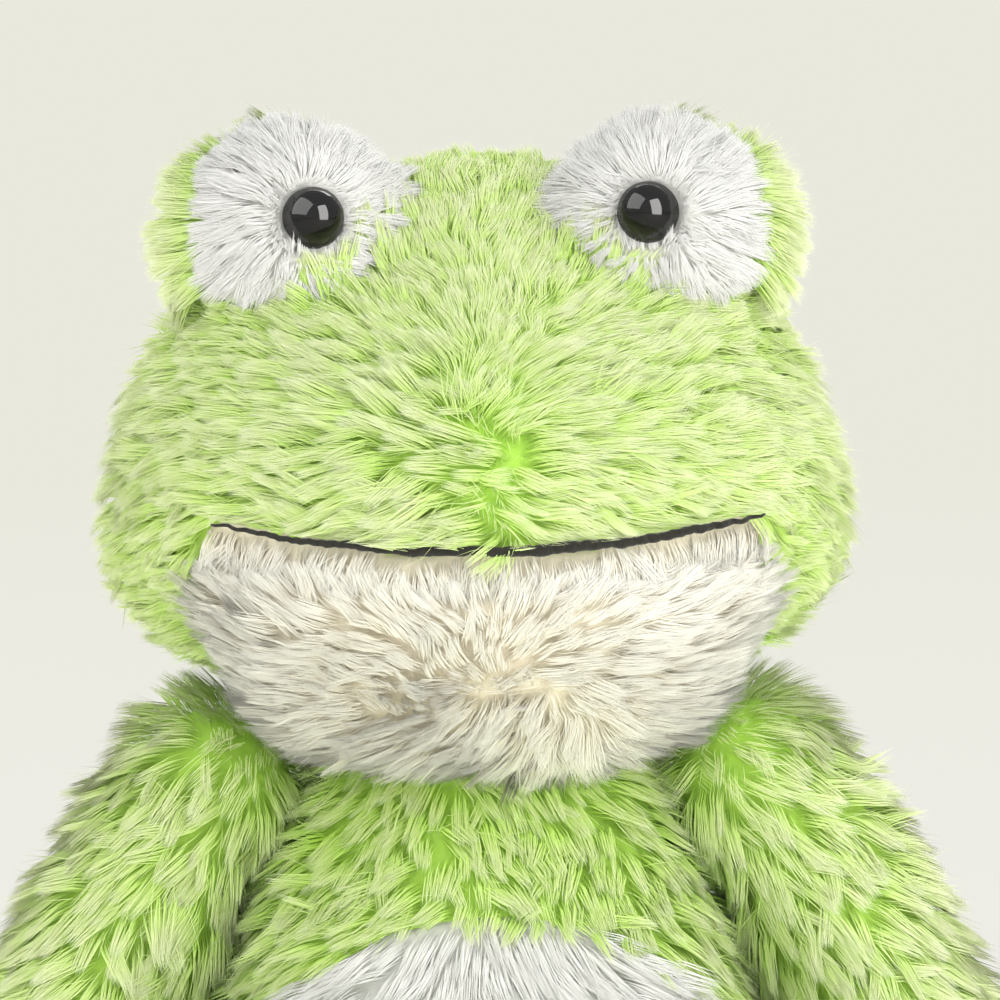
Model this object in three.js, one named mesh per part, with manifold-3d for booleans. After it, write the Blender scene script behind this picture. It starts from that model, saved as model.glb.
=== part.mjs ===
// A seated plush frog. Long-pile fur panels are sewn into bags over fibre stuffing: a head with a
// cream chin, a corded mouth line and two eye mounds, a trunk with a white belly panel and a pouch
// of pellets in its seat, and four limbs, each its own stuffed bag sewn on at a rounded root.
// Sizes are in millimetres, +Z is up, the frog faces -Y and its own left side is +X. The origin is
// the middle of the flat seat. Outer sizes are those of the lightly pressed pile.

import * as THREE from "three";
import { mergeVertices } from "three/addons/utils/BufferGeometryUtils.js";
import Module from "manifold-3d";

const wasm = await Module();
wasm.setup();

// Skin and fits
const SKIN_WALL = 8; // fur fabric with its pile
const BACKING = 2; // the knitted backing alone
const SEAM_GAP = 0.35; // between pieces that touch
const OVERRUN = 5; // how far a cutting tool runs past what it cuts
const REST_CUT = 0.5; // how deep the floor flattens what rests on it

// Trunk
const TRUNK_HEIGHT = 148; // seat to the flat neck seam
const TRUNK_DOME = 26; // the trunk's form above that seam, cut away
const TRUNK_SIDE = 64;
const TRUNK_FRONT = 56;
const TRUNK_BACK = 51;
const TRUNK_FOOT_SHARE = 0.32; // how wide the seat's flat is
const TRUNK_SIDE_SHARES = [1.8, 1.46, 1.26, 1.11, 1.0, 0.94, 0.87, 0.76, 0.7];
const TRUNK_FRONT_SHARES = [1.75, 1.36, 1.2, 1.1, 1.0, 0.9, 0.8, 0.78, 0.75];
const TRUNK_BACK_SHARES = [1.85, 1.41, 1.23, 1.11, 1.0, 0.93, 0.87, 0.85, 0.85];

// Belly panel and seat pouch
const BELLY_HEIGHT = 59;
const BELLY_HALF_WIDTH = 62;
const BELLY_HALF_HEIGHT = 47;
const POUCH_HALF_WIDTH = 46;
const POUCH_HALF_DEPTH = 34;
const POUCH_HALF_HEIGHT = 19;
const POUCH_FLAT = 6; // how much of its underside the seat's fabric flattens
const SEAT_WALL = 13; // the seat's doubled fabric, flat inside

// Head: the crown form, which is the muzzle, cheeks and back of the head in one
const CROWN_HEIGHT = 152;
const CROWN_SINK = 8; // how far the crown's form runs below the neck seam, cut away
const CROWN_FORWARD = 10; // the crown's axis ahead of the neck
const CROWN_SIDE = 88;
const CROWN_FRONT = 82;
const CROWN_BACK = 67;
const CROWN_SIDE_SHARES = [1.0, 0.97, 1.12, 1.06, 0.99, 0.96, 0.95, 0.97, 1.0];
const CROWN_FRONT_SHARES = [0.56, 0.67, 0.83, 0.98, 1.0, 0.9, 0.74, 0.57, 0.44];
const CROWN_BACK_SHARES = [1.5, 1.16, 1.1, 1.04, 1.0, 1.01, 1.02, 1.01, 1.0];
const NECK_CORE_RADIUS = 27; // stuffing that passes through the neck seam
const NECK_CLEARANCE = 1.5; // room for the head to turn round the trunk's top
const HEAD_TURN = 15; // degrees to each side
const SHOULDER_CLEARANCE = 1; // between the turning chin and the shoulders

// Chin panel
const CHIN_DROP = 9.5; // lowest point below the neck seam
const CHIN_HEIGHT = 93;
const CHIN_FOOT_FORWARD = 40; // its lowest point ahead of the neck
const CHIN_HEAD_FORWARD = 10;
const CHIN_SIDE = 70;
const CHIN_FRONT = 62;
const CHIN_BACK = 22;
const CHIN_FULLNESS_SHARE = 0.75; // below 1 its level sections are squarer than an ellipse
const CHIN_SIDE_SHARES = [1.3, 0.98, 1.02, 1.1, 1.1];
const CHIN_FRONT_SHARES = [0.7, 0.89, 1.06, 1.1, 1.0];
const CHIN_BACK_SHARES = [1, 1, 1, 1, 1];

// Mouth line
const MOUTH_RISE = 49; // its middle above the neck seam
const MOUTH_SMILE = 6; // how much higher its ends are
const MOUTH_HALF_WIDTH = 66;
const CORD_RADIUS = 1.3;
const CORD_SEAT_DEPTH = 0.9; // the cord's middle line behind the muzzle's surface

// Eye mounds, their white patches and the plastic eyes
const MOUND_RADIUS = 30;
const MOUND_APART = 92; // between the two centres
const MOUND_FORWARD = 27;
const MOUND_BELOW_TOP = 23; // centre below the crown's top
const PATCH_TURN = 20; // degrees that the patch's seam plane turns inwards
const PATCH_BACK = 5; // the seam plane behind the mound's centre
const EYE_RADIUS = 7.5;
const EYE_DOME_HEIGHT = 9;
const EYE_INWARD = 7; // the eye's place on the mound, from the mound's centre
const EYE_UP = 7;
const EYE_POCKET_GAP = 0.4;
const STEM_RADIUS = 2;
const STEM_LENGTH = 11;
const STEM_RING_HEIGHT = 0.4;
const STEM_RINGS = 3;
const WASHER_RADIUS = 7.5;
const WASHER_THICKNESS = 1.6;

// Arms
const ARM_RADIUS = 26;
const SHOULDER_BALL_RADIUS = 24;
const SHOULDER_DROP = 23; // below the neck seam, where the arm's seat is on the trunk's side
const LIMB_BITE = 7; // how deep a limb's round root is dished into the trunk
const ARM_OUT = [12.5, 25, 37, 47]; // the arm's middle line, outwards from the shoulder
const ARM_DOWN = [20, 42, 65, 87]; // and down
const ARM_FORE = [0, 1, 3, 6]; // and forwards
const ARM_TOP_REACH = 21; // from the shoulder's centre to the arm's top
const ARM_HAND_REACH = 23; // past the last point of the middle line
const ARM_CLEARANCE = 0.6; // between the swinging arm and the trunk's side
const ARM_SHARES = [1.6, 1.23, 1.05, 1.0, 0.99, 1.28, 1.6];

// Legs
const LEG_RADIUS = 25;
const HIP_BALL_RADIUS = 24;
const HIP_TURN = 44; // degrees round the trunk from straight ahead to the hip
const LEG_SPLAY = 22; // degrees outwards from straight ahead
const LEG_REACH = 101; // hip centre to the ankle
const LEG_ROOT_REACH = 24;
const LEG_END_REACH = 14;
const LEG_SHARES = [1.52, 1.28, 1.06, 1.0, 1.0, 1.16, 1.45];
const FOOT_HALF_WIDTH = 28;
const FOOT_HALF_LENGTH = 20;
const FOOT_HALF_HEIGHT = 37;
const FOOT_TILT = 8; // degrees that the foot leans back

// Facets
const CROWN_FACETS = { sides: 28, rings: 16 };
const TRUNK_FACETS = { sides: 24, rings: 11 };
const CHIN_FACETS = { sides: 24, rings: 11 };
const LIMB_FACETS = { sides: 12, rings: 9 };
const INNER_FACETS = { sides: 12, rings: 7 };
const ROUND_STEPS = 16;
const MOUTH_STEPS = 12;
const CORD_SIDES = 6;
const ROOT_STEPS = 20;
const SWEEP_STEPS = 10;
const NECK_STEPS = 4;
const DOME_STEPS = 6;
const FOOT_RING_SHARE = 0.7; // rings of the foot's oval for each of its sides

const vec = (x, y, z) => new THREE.Vector3(x, y, z);
const radians = THREE.MathUtils.degToRad;
const FORWARD = vec(0, -1, 0);
const UP = vec(0, 0, 1);

// A closed geometry as a solid that can be joined and cut.
function solid(geometry) {
  const bare = geometry.clone().deleteAttribute("normal").deleteAttribute("uv");
  const merged = mergeVertices(bare);
  return new wasm.Manifold(
    new wasm.Mesh({
      numProp: 3,
      vertProperties: new Float32Array(merged.attributes.position.array),
      triVerts: new Uint32Array(merged.index.array),
    }),
  );
}

function geometryOf(made) {
  const mesh = made.getMesh();
  const position = new THREE.BufferAttribute(new Float32Array(mesh.vertProperties), mesh.numProp);
  const geometry = new THREE.BufferGeometry().setAttribute("position", position);
  geometry.setIndex(new THREE.BufferAttribute(new Uint32Array(mesh.triVerts), 1));
  const flat = geometry.toNonIndexed();
  flat.computeVertexNormals();
  return flat;
}

// The same closed geometry on the frog's other side, its faces still pointing out.
function mirrored(geometry) {
  const other = geometry.clone().scale(-1, 1, 1);
  const index = other.index.array;
  for (let i = 0; i < index.length; i += 3) {
    [index[i + 1], index[i + 2]] = [index[i + 2], index[i + 1]];
  }
  return other;
}

const bothSides = (geometry) => solid(geometry).add(solid(mirrored(geometry)));

const shareAt = (shares, t) => {
  const levels = shares.map((share, i) => new THREE.Vector2(i, share));
  return new THREE.SplineCurve(levels).getPoint(t).y;
};

// The half sizes of a stuffed form at share t of its spine: round at both ends, or flat at its foot
// where it sits, and between them as full as its shares say.
function section(form, t) {
  const foot = (form.footShare ?? 0) * (1 - t) ** 4;
  const round = Math.hypot(2 * Math.sqrt(t * (1 - t)), foot);
  return {
    centre: form.spine.getPointAt(t),
    side: form.side * shareAt(form.sideShares, t) * round,
    front: form.front * shareAt(form.frontShares, t) * round,
    back: form.back * shareAt(form.backShares, t) * round,
  };
}

const squared = (share, power = 1) => Math.sign(share) * Math.abs(share) ** power;

// Across and fore directions of a section: level for a form that stands, else square to the spine.
function directions(form, t) {
  if (form.level) return { across: vec(1, 0, 0), fore: FORWARD.clone() };
  const along = form.spine.getTangentAt(t);
  const across = vec(1, 0, 0).addScaledVector(along, -along.x);
  if (Math.abs(along.x) > Math.abs(along.y)) across.set(0, 1, 0).addScaledVector(along, -along.y);
  across.normalize();
  return { across, fore: along.clone().cross(across) };
}

// A stuffed form as a closed skin of rings between two poles, moved outwards by offset. Its faces
// are split alike on the frog's two sides where the number of sides divides by four.
function skin(form, facets, offset = 0) {
  const { sides, rings } = facets;
  const points = [form.spine.getPointAt(0)];
  const angles = Array.from({ length: sides }, (_, j) => (2 * Math.PI * j) / sides);
  const firstRing = form.footShare ? 0 : 1;
  for (let i = firstRing; i < rings; i += 1) {
    const t = (1 - Math.cos((Math.PI * i) / rings)) / 2;
    const { centre, side, front, back } = section(form, t);
    const { across, fore } = directions(form, t);
    for (const angle of angles) {
      const depth = Math.sin(angle) > 0 ? front : back;
      const out = squared(Math.cos(angle), form.fullness);
      const ahead = squared(Math.sin(angle), form.fullness);
      const point = centre.clone().addScaledVector(across, side * out);
      points.push(point.addScaledVector(fore, depth * ahead));
    }
  }
  points.push(form.spine.getPointAt(1));
  const last = points.length - 1;
  const index = [];
  const at = (i, j) => 1 + i * sides + (j % sides);
  const bands = rings - firstRing - 1;
  for (let j = 0; j < sides; j += 1) {
    index.push(0, at(0, j), at(0, j + 1));
    index.push(last, at(bands, j + 1), at(bands, j));
    const mirrorSide = Math.cos(angles[j] + Math.PI / sides) < 0;
    for (let i = 0; i < bands; i += 1) {
      const [near, far] = mirrorSide ? [j + 1, j] : [j, j + 1];
      const half = [at(i, near), at(i + 1, near), at(i + 1, far)];
      const rest = [at(i, near), at(i + 1, far), at(i, far)];
      if (mirrorSide) index.push(...half.reverse(), ...rest.reverse());
      else index.push(...half, ...rest);
    }
  }
  const geometry = new THREE.BufferGeometry().setFromPoints(points).setIndex(index);
  geometry.computeVertexNormals();
  const position = geometry.attributes.position;
  const normal = geometry.attributes.normal;
  const middle = form.spine.getPointAt(0.5);
  const outwards = vec().fromBufferAttribute(normal, last).dot(points[last].clone().sub(middle));
  const turned = Math.sign(outwards);
  if (turned < 0) {
    const flipped = geometry.index.array;
    for (let i = 0; i < flipped.length; i += 3) {
      [flipped[i + 1], flipped[i + 2]] = [flipped[i + 2], flipped[i + 1]];
    }
  }
  for (let i = 0; i < position.count; i += 1) {
    const moved = vec().fromBufferAttribute(position, i);
    moved.addScaledVector(vec().fromBufferAttribute(normal, i), turned * offset);
    position.setXYZ(i, moved.x, moved.y, moved.z);
  }
  return geometry;
}

const ball = (radius, centre) =>
  indexed(new THREE.SphereGeometry(radius, ROUND_STEPS, ROUND_STEPS / 2)).translate(...centre);

// three.js leaves a seam in its round geometries, which this closes.
function indexed(geometry) {
  return mergeVertices(geometry.deleteAttribute("normal").deleteAttribute("uv"));
}

// A limb's round root, or with a gap the dish that it turns in, whose facets stay clear of it.
function dish(radius, gap, centre) {
  const outside = gap > 0 ? Math.cos(Math.PI / ROOT_STEPS) ** 2 : 1;
  const round = new THREE.SphereGeometry((radius + gap) / outside, ROOT_STEPS, ROOT_STEPS / 2);
  return indexed(round).translate(...centre);
}

// A block that fills everything on the far side of a plane, away from its normal's tail.
function beyond(point, normal, reach) {
  const block = indexed(new THREE.BoxGeometry(2 * reach, 2 * reach, reach));
  block.translate(0, 0, reach / 2);
  block.applyQuaternion(new THREE.Quaternion().setFromUnitVectors(UP, normal.clone().normalize()));
  return solid(block.translate(...point));
}

const floorCut = beyond(vec(0, 0, 0), vec(0, 0, -1), TRUNK_HEIGHT + CROWN_HEIGHT);

// Trunk form
const neckHeight = TRUNK_HEIGHT;
const trunkForm = {
  level: true,
  spine: new THREE.LineCurve3(vec(0, 0, -REST_CUT), vec(0, 0, TRUNK_HEIGHT + TRUNK_DOME)),
  footShare: TRUNK_FOOT_SHARE,
  side: TRUNK_SIDE,
  front: TRUNK_FRONT,
  back: TRUNK_BACK,
  sideShares: TRUNK_SIDE_SHARES,
  frontShares: TRUNK_FRONT_SHARES,
  backShares: TRUNK_BACK_SHARES,
};
const trunkShareAt = (height) => (height + REST_CUT) / (TRUNK_HEIGHT + TRUNK_DOME + REST_CUT);
const trunkAt = (height) => section(trunkForm, trunkShareAt(height));

// Shoulders: each arm's round root is dished into the trunk's side
const shoulderHeight = neckHeight - SHOULDER_DROP;
const shoulderSection = trunkAt(shoulderHeight);
const shoulderAbove = trunkAt(shoulderHeight + OVERRUN);
const shoulderNormal = vec(OVERRUN, 0, shoulderSection.side - shoulderAbove.side).normalize();
const shoulderCentre = vec(shoulderSection.side, 0, shoulderHeight).addScaledVector(
  shoulderNormal,
  SHOULDER_BALL_RADIUS - LIMB_BITE,
);
const shoulderBall = (gap) => dish(SHOULDER_BALL_RADIUS, gap, shoulderCentre);

// Crown form
const crownFoot = neckHeight - CROWN_SINK;
const crownTop = crownFoot + CROWN_HEIGHT;
const crownForm = {
  level: true,
  spine: new THREE.LineCurve3(
    vec(0, -CROWN_FORWARD, crownFoot),
    vec(0, -CROWN_FORWARD, crownTop),
  ),
  side: CROWN_SIDE,
  front: CROWN_FRONT,
  back: CROWN_BACK,
  sideShares: CROWN_SIDE_SHARES,
  frontShares: CROWN_FRONT_SHARES,
  backShares: CROWN_BACK_SHARES,
};

// Chin form, its spine leaning back from the lowest point
const chinFoot = neckHeight - CHIN_DROP;
const chinForm = {
  level: true,
  spine: new THREE.LineCurve3(
    vec(0, -CHIN_FOOT_FORWARD, chinFoot),
    vec(0, -CHIN_HEAD_FORWARD, chinFoot + CHIN_HEIGHT),
  ),
  side: CHIN_SIDE,
  front: CHIN_FRONT,
  back: CHIN_BACK,
  sideShares: CHIN_SIDE_SHARES,
  frontShares: CHIN_FRONT_SHARES,
  backShares: CHIN_BACK_SHARES,
  fullness: CHIN_FULLNESS_SHARE,
};

// The mouth line, seen from the front: its height at a place across the face.
const mouthHeight = (x) =>
  neckHeight + MOUTH_RISE + MOUTH_SMILE * Math.min((x / MOUTH_HALF_WIDTH) ** 2, 1);

// All of the head below the mouth line, lowered by gap.
function belowMouth(gap) {
  const reach = CROWN_SIDE * 2;
  const outline = new THREE.Shape();
  outline.moveTo(-reach, 0);
  outline.lineTo(reach, 0);
  for (let i = 0; i <= MOUTH_STEPS; i += 1) {
    const x = MOUTH_HALF_WIDTH * (1 - (2 * i) / MOUTH_STEPS);
    if (i === 0) outline.lineTo(reach, mouthHeight(x) - gap);
    outline.lineTo(x, mouthHeight(x) - gap);
  }
  outline.lineTo(-reach, mouthHeight(-MOUTH_HALF_WIDTH) - gap);
  outline.closePath();
  const block = new THREE.ExtrudeGeometry(outline, { depth: 2 * reach, bevelEnabled: false });
  block.rotateX(Math.PI / 2).translate(0, reach, 0);
  return solid(block);
}

// Where the crown's surface is at a place across the face and a height, in front.
function faceDepth(x, height) {
  const t = (height - crownFoot) / CROWN_HEIGHT;
  const { centre, side, front } = section(crownForm, t);
  return centre.y - front * Math.sqrt(Math.max(0, 1 - (x / side) ** 2));
}

// A cord of that radius along the mouth line, just behind the muzzle's surface.
function mouthCord(radius) {
  const points = [];
  for (let i = 0; i <= MOUTH_STEPS; i += 1) {
    const x = MOUTH_HALF_WIDTH * ((2 * i) / MOUTH_STEPS - 1);
    const height = mouthHeight(x);
    points.push(vec(x, faceDepth(x, height) + CORD_SEAT_DEPTH, height));
  }
  const round = new THREE.Shape();
  for (let j = 0; j < CORD_SIDES; j += 1) {
    const angle = (2 * Math.PI * j) / CORD_SIDES;
    const place = [radius * Math.cos(angle), radius * Math.sin(angle)];
    if (j === 0) round.moveTo(...place);
    else round.lineTo(...place);
  }
  round.closePath();
  const path = new THREE.CatmullRomCurve3(points);
  return new THREE.ExtrudeGeometry(round, {
    steps: 2 * MOUTH_STEPS,
    extrudePath: path,
    bevelEnabled: false,
  });
}

// What the trunk's top sweeps when the head turns on it, with clearance.
function neckSweep() {
  const depth = CHIN_DROP + OVERRUN;
  const profile = [new THREE.Vector2(0, neckHeight - depth)];
  for (let i = 0; i <= NECK_STEPS; i += 1) {
    const height = neckHeight - depth + (depth * i) / NECK_STEPS;
    const { side, front, back } = trunkAt(height);
    const radius = Math.max(side, front, back) + NECK_CLEARANCE;
    profile.push(new THREE.Vector2(radius, height + (i === NECK_STEPS ? SEAM_GAP : 0)));
  }
  profile.push(new THREE.Vector2(0, neckHeight + SEAM_GAP));
  return solid(indexed(new THREE.LatheGeometry(profile, 2 * ROUND_STEPS).rotateX(Math.PI / 2)));
}

// Head bags: the crown and chin panels round one filling
const belowNeck = beyond(vec(0, 0, neckHeight + SEAM_GAP), vec(0, 0, -1), 2 * CROWN_SIDE);

const crownOuter = solid(skin(crownForm, CROWN_FACETS));
const chinOuter = solid(skin(chinForm, CHIN_FACETS)).intersect(belowMouth(SEAM_GAP / 2));
const chinGrown = solid(skin(chinForm, CHIN_FACETS, SEAM_GAP)).intersect(belowMouth(-SEAM_GAP / 2));
const neckCore = (gap) =>
  solid(indexed(new THREE.CylinderGeometry(
    NECK_CORE_RADIUS + gap,
    NECK_CORE_RADIUS + gap,
    CROWN_SIDE,
    ROUND_STEPS,
  ).rotateX(Math.PI / 2).translate(0, 0, neckHeight + CROWN_SIDE / 2 - OVERRUN)));
const headFilling = (inset) =>
  solid(skin(crownForm, INNER_FACETS, -inset)).add(solid(skin(chinForm, INNER_FACETS, -inset)));
const neckRoom = neckSweep();
const cordRoom = solid(mouthCord(CORD_RADIUS + SEAM_GAP));

// The shoulders' places in the head's own frame, as it turns from side to side
let shoulderRoom = bothSides(shoulderBall(SHOULDER_CLEARANCE));
for (const turn of [-HEAD_TURN, -HEAD_TURN / 2, HEAD_TURN / 2, HEAD_TURN]) {
  shoulderRoom = shoulderRoom.add(
    bothSides(shoulderBall(SHOULDER_CLEARANCE).rotateZ(radians(turn))),
  );
}

const headHollow = headFilling(SKIN_WALL).add(neckCore(0));
const crown = crownOuter
  .subtract(chinGrown)
  .subtract(headHollow)
  .subtract(belowNeck)
  .subtract(cordRoom);
const chin = chinOuter
  .subtract(headHollow)
  .subtract(neckRoom)
  .subtract(shoulderRoom)
  .subtract(cordRoom);
const headStuffing = headFilling(SKIN_WALL + SEAM_GAP)
  .add(neckCore(-SEAM_GAP))
  .subtract(belowNeck)
  .subtract(neckRoom);

// Eye mounds: a round bag seated on the crown, green behind its seam plane and white before it
const moundCentre = vec(MOUND_APART / 2, -MOUND_FORWARD, crownTop - MOUND_BELOW_TOP);
const patchNormal = FORWARD.clone().applyAxisAngle(UP, -radians(PATCH_TURN));
const patchPoint = moundCentre.clone().addScaledVector(patchNormal, -PATCH_BACK);
const moundReach = 2 * MOUND_RADIUS;
const eyeOffset = vec(-EYE_INWARD, 0, EYE_UP);
eyeOffset.y = -Math.sqrt(MOUND_RADIUS ** 2 - EYE_INWARD ** 2 - EYE_UP ** 2);
const eyeAxis = eyeOffset.clone().normalize();
const eyeBase = MOUND_RADIUS - SKIN_WALL + BACKING; // where the eye's flat back lies, from the centre
const washerOuter = Math.sqrt((MOUND_RADIUS - SKIN_WALL) ** 2 - WASHER_RADIUS ** 2) - 2 * SEAM_GAP;

// A round geometry made about +Y, set on the eye's line with its origin at that distance out.
function onEyeLine(geometry, distance) {
  geometry.applyQuaternion(new THREE.Quaternion().setFromUnitVectors(vec(0, 1, 0), eyeAxis));
  return geometry.translate(...moundCentre.clone().addScaledVector(eyeAxis, distance));
}

const rod = (radius, length) =>
  indexed(new THREE.CylinderGeometry(radius, radius, length, ROUND_STEPS)).translate(0, length / 2, 0);

const crownGrown = solid(skin(crownForm, CROWN_FACETS, SEAM_GAP));
const moundBag = solid(ball(MOUND_RADIUS, moundCentre))
  .subtract(solid(ball(MOUND_RADIUS - SKIN_WALL, moundCentre)))
  .subtract(crownGrown);
const halfGap = patchNormal.clone().multiplyScalar(SEAM_GAP / 2);
const beforeSeam = beyond(patchPoint.clone().add(halfGap), patchNormal, moundReach);
const behindSeam = beyond(
  patchPoint.clone().sub(halfGap),
  patchNormal.clone().negate(),
  moundReach,
);
const eyePocket = solid(onEyeLine(rod(EYE_RADIUS + EYE_POCKET_GAP, MOUND_RADIUS), eyeBase - SEAM_GAP));
const stemRadius = STEM_RADIUS + STEM_RING_HEIGHT;
const stemHole = solid(onEyeLine(rod(stemRadius + SEAM_GAP, MOUND_RADIUS), 0));
const mound = moundBag.intersect(behindSeam);
const patch = moundBag.intersect(beforeSeam).subtract(eyePocket).subtract(stemHole);
const washerRoom = solid(onEyeLine(
  rod(WASHER_RADIUS + SEAM_GAP, SKIN_WALL),
  washerOuter - WASHER_THICKNESS - SEAM_GAP,
));
const stemRoom = solid(onEyeLine(
  rod(stemRadius + SEAM_GAP, STEM_LENGTH + OVERRUN),
  eyeBase - STEM_LENGTH - SEAM_GAP,
));
const moundStuffing = solid(ball(MOUND_RADIUS - SKIN_WALL - SEAM_GAP, moundCentre))
  .subtract(crownGrown)
  .subtract(washerRoom)
  .subtract(stemRoom);

// The plastic eye: a glossy dome on a stem with ratchet rings, about +Y, its flat back at zero
function eyeGeometry() {
  const profile = [new THREE.Vector2(0, -STEM_LENGTH)];
  profile.push(new THREE.Vector2(STEM_RADIUS, -STEM_LENGTH));
  const grip = STEM_LENGTH / 2;
  for (let i = 0; i < STEM_RINGS; i += 1) {
    const foot = -STEM_LENGTH + (grip * (i + 0.5)) / STEM_RINGS;
    profile.push(new THREE.Vector2(STEM_RADIUS, foot));
    profile.push(new THREE.Vector2(stemRadius, foot + STEM_RING_HEIGHT));
    profile.push(new THREE.Vector2(STEM_RADIUS, foot + 2 * STEM_RING_HEIGHT));
  }
  profile.push(new THREE.Vector2(STEM_RADIUS, 0));
  for (let i = 0; i <= DOME_STEPS; i += 1) {
    const angle = (Math.PI / 2) * (i / DOME_STEPS);
    const out = EYE_RADIUS * Math.cos(angle);
    profile.push(new THREE.Vector2(i === DOME_STEPS ? 0 : out, EYE_DOME_HEIGHT * Math.sin(angle)));
  }
  return new THREE.LatheGeometry(profile, ROUND_STEPS);
}

// The locking washer, pressed over the stem from inside the mound
function washerGeometry() {
  const bore = stemRadius + SEAM_GAP;
  const profile = [
    new THREE.Vector2(bore, 0),
    new THREE.Vector2(WASHER_RADIUS, 0),
    new THREE.Vector2(WASHER_RADIUS, WASHER_THICKNESS / 2),
    new THREE.Vector2(WASHER_RADIUS / 2, WASHER_THICKNESS),
    new THREE.Vector2(bore, WASHER_THICKNESS),
    new THREE.Vector2(bore, 0),
  ];
  return new THREE.LatheGeometry(profile, ROUND_STEPS);
}

// Arms, each hanging outwards from its round root
const armPoints = ARM_OUT.map((out, i) =>
  shoulderCentre.clone().add(vec(out, -ARM_FORE[i], -ARM_DOWN[i])),
);
const armStart = armPoints[0].clone().sub(shoulderCentre).normalize();
const armLast = armPoints.at(-1);
const armEnd = armLast.clone().sub(armPoints.at(-2)).normalize();
const armForm = {
  spine: new THREE.CatmullRomCurve3([
    shoulderCentre.clone().addScaledVector(armStart, -ARM_TOP_REACH),
    shoulderCentre,
    ...armPoints,
    armLast.clone().addScaledVector(armEnd, ARM_HAND_REACH),
  ]),
  side: ARM_RADIUS,
  front: ARM_RADIUS,
  back: ARM_RADIUS,
  sideShares: ARM_SHARES,
  frontShares: ARM_SHARES,
  backShares: ARM_SHARES,
};

// Legs, lying forwards and outwards from a ball that is dished into the trunk's hip
const hipHeight = LEG_RADIUS - REST_CUT;
const hipSection = trunkAt(hipHeight);
const hipDirection = vec(Math.sin(radians(HIP_TURN)), -Math.cos(radians(HIP_TURN)), 0);
const hipSurface = 1 / Math.hypot(
  hipDirection.x / hipSection.side,
  hipDirection.y / hipSection.front,
);
const hipCentre = hipDirection.clone().multiplyScalar(
  hipSurface + HIP_BALL_RADIUS - LIMB_BITE,
).setZ(hipHeight);
const legDirection = vec(Math.sin(radians(LEG_SPLAY)), -Math.cos(radians(LEG_SPLAY)), 0);
const ankle = hipCentre.clone().addScaledVector(legDirection, LEG_REACH);
const legForm = {
  spine: new THREE.LineCurve3(
    hipCentre.clone().addScaledVector(legDirection, -LEG_ROOT_REACH),
    ankle.clone().addScaledVector(legDirection, LEG_END_REACH),
  ),
  side: LEG_RADIUS,
  front: LEG_RADIUS,
  back: LEG_RADIUS,
  sideShares: LEG_SHARES,
  frontShares: LEG_SHARES,
  backShares: LEG_SHARES,
};

// The foot, an upright oval at the leg's end, moved outwards by offset.
function foot(offset, steps) {
  const rings = Math.round(steps * FOOT_RING_SHARE);
  const oval = indexed(new THREE.SphereGeometry(1, steps, rings));
  oval.scale(FOOT_HALF_WIDTH + offset, FOOT_HALF_LENGTH + offset, FOOT_HALF_HEIGHT + offset);
  oval.rotateX(-radians(FOOT_TILT)).rotateZ(radians(LEG_SPLAY));
  return solid(oval.translate(ankle.x, ankle.y, FOOT_HALF_HEIGHT - REST_CUT));
}

const hipBall = (gap) => dish(HIP_BALL_RADIUS, gap, hipCentre);
const trunkGrown = solid(skin(trunkForm, TRUNK_FACETS, SEAM_GAP));

// What the trunk's side sweeps past an arm that swings about the shoulder's cross axis
function shoulderSweep() {
  const reach = shoulderCentre.z;
  const rim = [];
  let widest = 0;
  for (let i = 0; i <= SWEEP_STEPS; i += 1) {
    const radius = (reach * i) / SWEEP_STEPS;
    widest = Math.max(widest, trunkAt(shoulderCentre.z - radius).side);
    rim.push(new THREE.Vector2(radius, widest + ARM_CLEARANCE));
  }
  const profile = [new THREE.Vector2(0, 0), new THREE.Vector2(reach, 0), ...rim.reverse()];
  const swept = indexed(new THREE.LatheGeometry(profile, 2 * ROUND_STEPS));
  swept.rotateZ(-Math.PI / 2);
  return solid(swept.translate(0, shoulderCentre.y, shoulderCentre.z));
}

const armOuter = solid(skin(armForm, LIMB_FACETS)).subtract(shoulderSweep());
const armWhole = armOuter.add(solid(shoulderBall(0)));
const armHollow = (inset) => solid(skin(armForm, INNER_FACETS, -inset));
const legOuter = solid(skin(legForm, LIMB_FACETS)).add(foot(0, LIMB_FACETS.sides));
const legWhole = legOuter.subtract(trunkGrown).add(solid(hipBall(0))).subtract(floorCut);
const legHollow = (inset) =>
  solid(skin(legForm, INNER_FACETS, -inset)).add(foot(-inset, INNER_FACETS.sides));

// A limb's fur bag is open at its root, where a round mouth is sewn to the trunk.
function mouthOf(centre, towards, ballRadius, gap) {
  const rootMouth = rod((ballRadius - SKIN_WALL) / 2 + gap, ballRadius + OVERRUN);
  rootMouth.applyQuaternion(
    new THREE.Quaternion().setFromUnitVectors(vec(0, 1, 0), towards.clone().normalize()),
  );
  return solid(rootMouth.translate(...centre));
}
const shoulderInwards = shoulderNormal.clone().negate();
const hipInwards = hipDirection.clone().negate();
const armBag = armWhole
  .subtract(armHollow(SKIN_WALL))
  .subtract(mouthOf(shoulderCentre, shoulderInwards, SHOULDER_BALL_RADIUS, 0));
const armStuffing = armHollow(SKIN_WALL + SEAM_GAP)
  .add(mouthOf(shoulderCentre, shoulderInwards, SHOULDER_BALL_RADIUS, -SEAM_GAP).intersect(armWhole));
const legBag = legWhole
  .subtract(legHollow(SKIN_WALL))
  .subtract(mouthOf(hipCentre, hipInwards, HIP_BALL_RADIUS, 0));
const legStuffing = legHollow(SKIN_WALL + SEAM_GAP)
  .add(mouthOf(hipCentre, hipInwards, HIP_BALL_RADIUS, -SEAM_GAP).intersect(legWhole));

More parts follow.
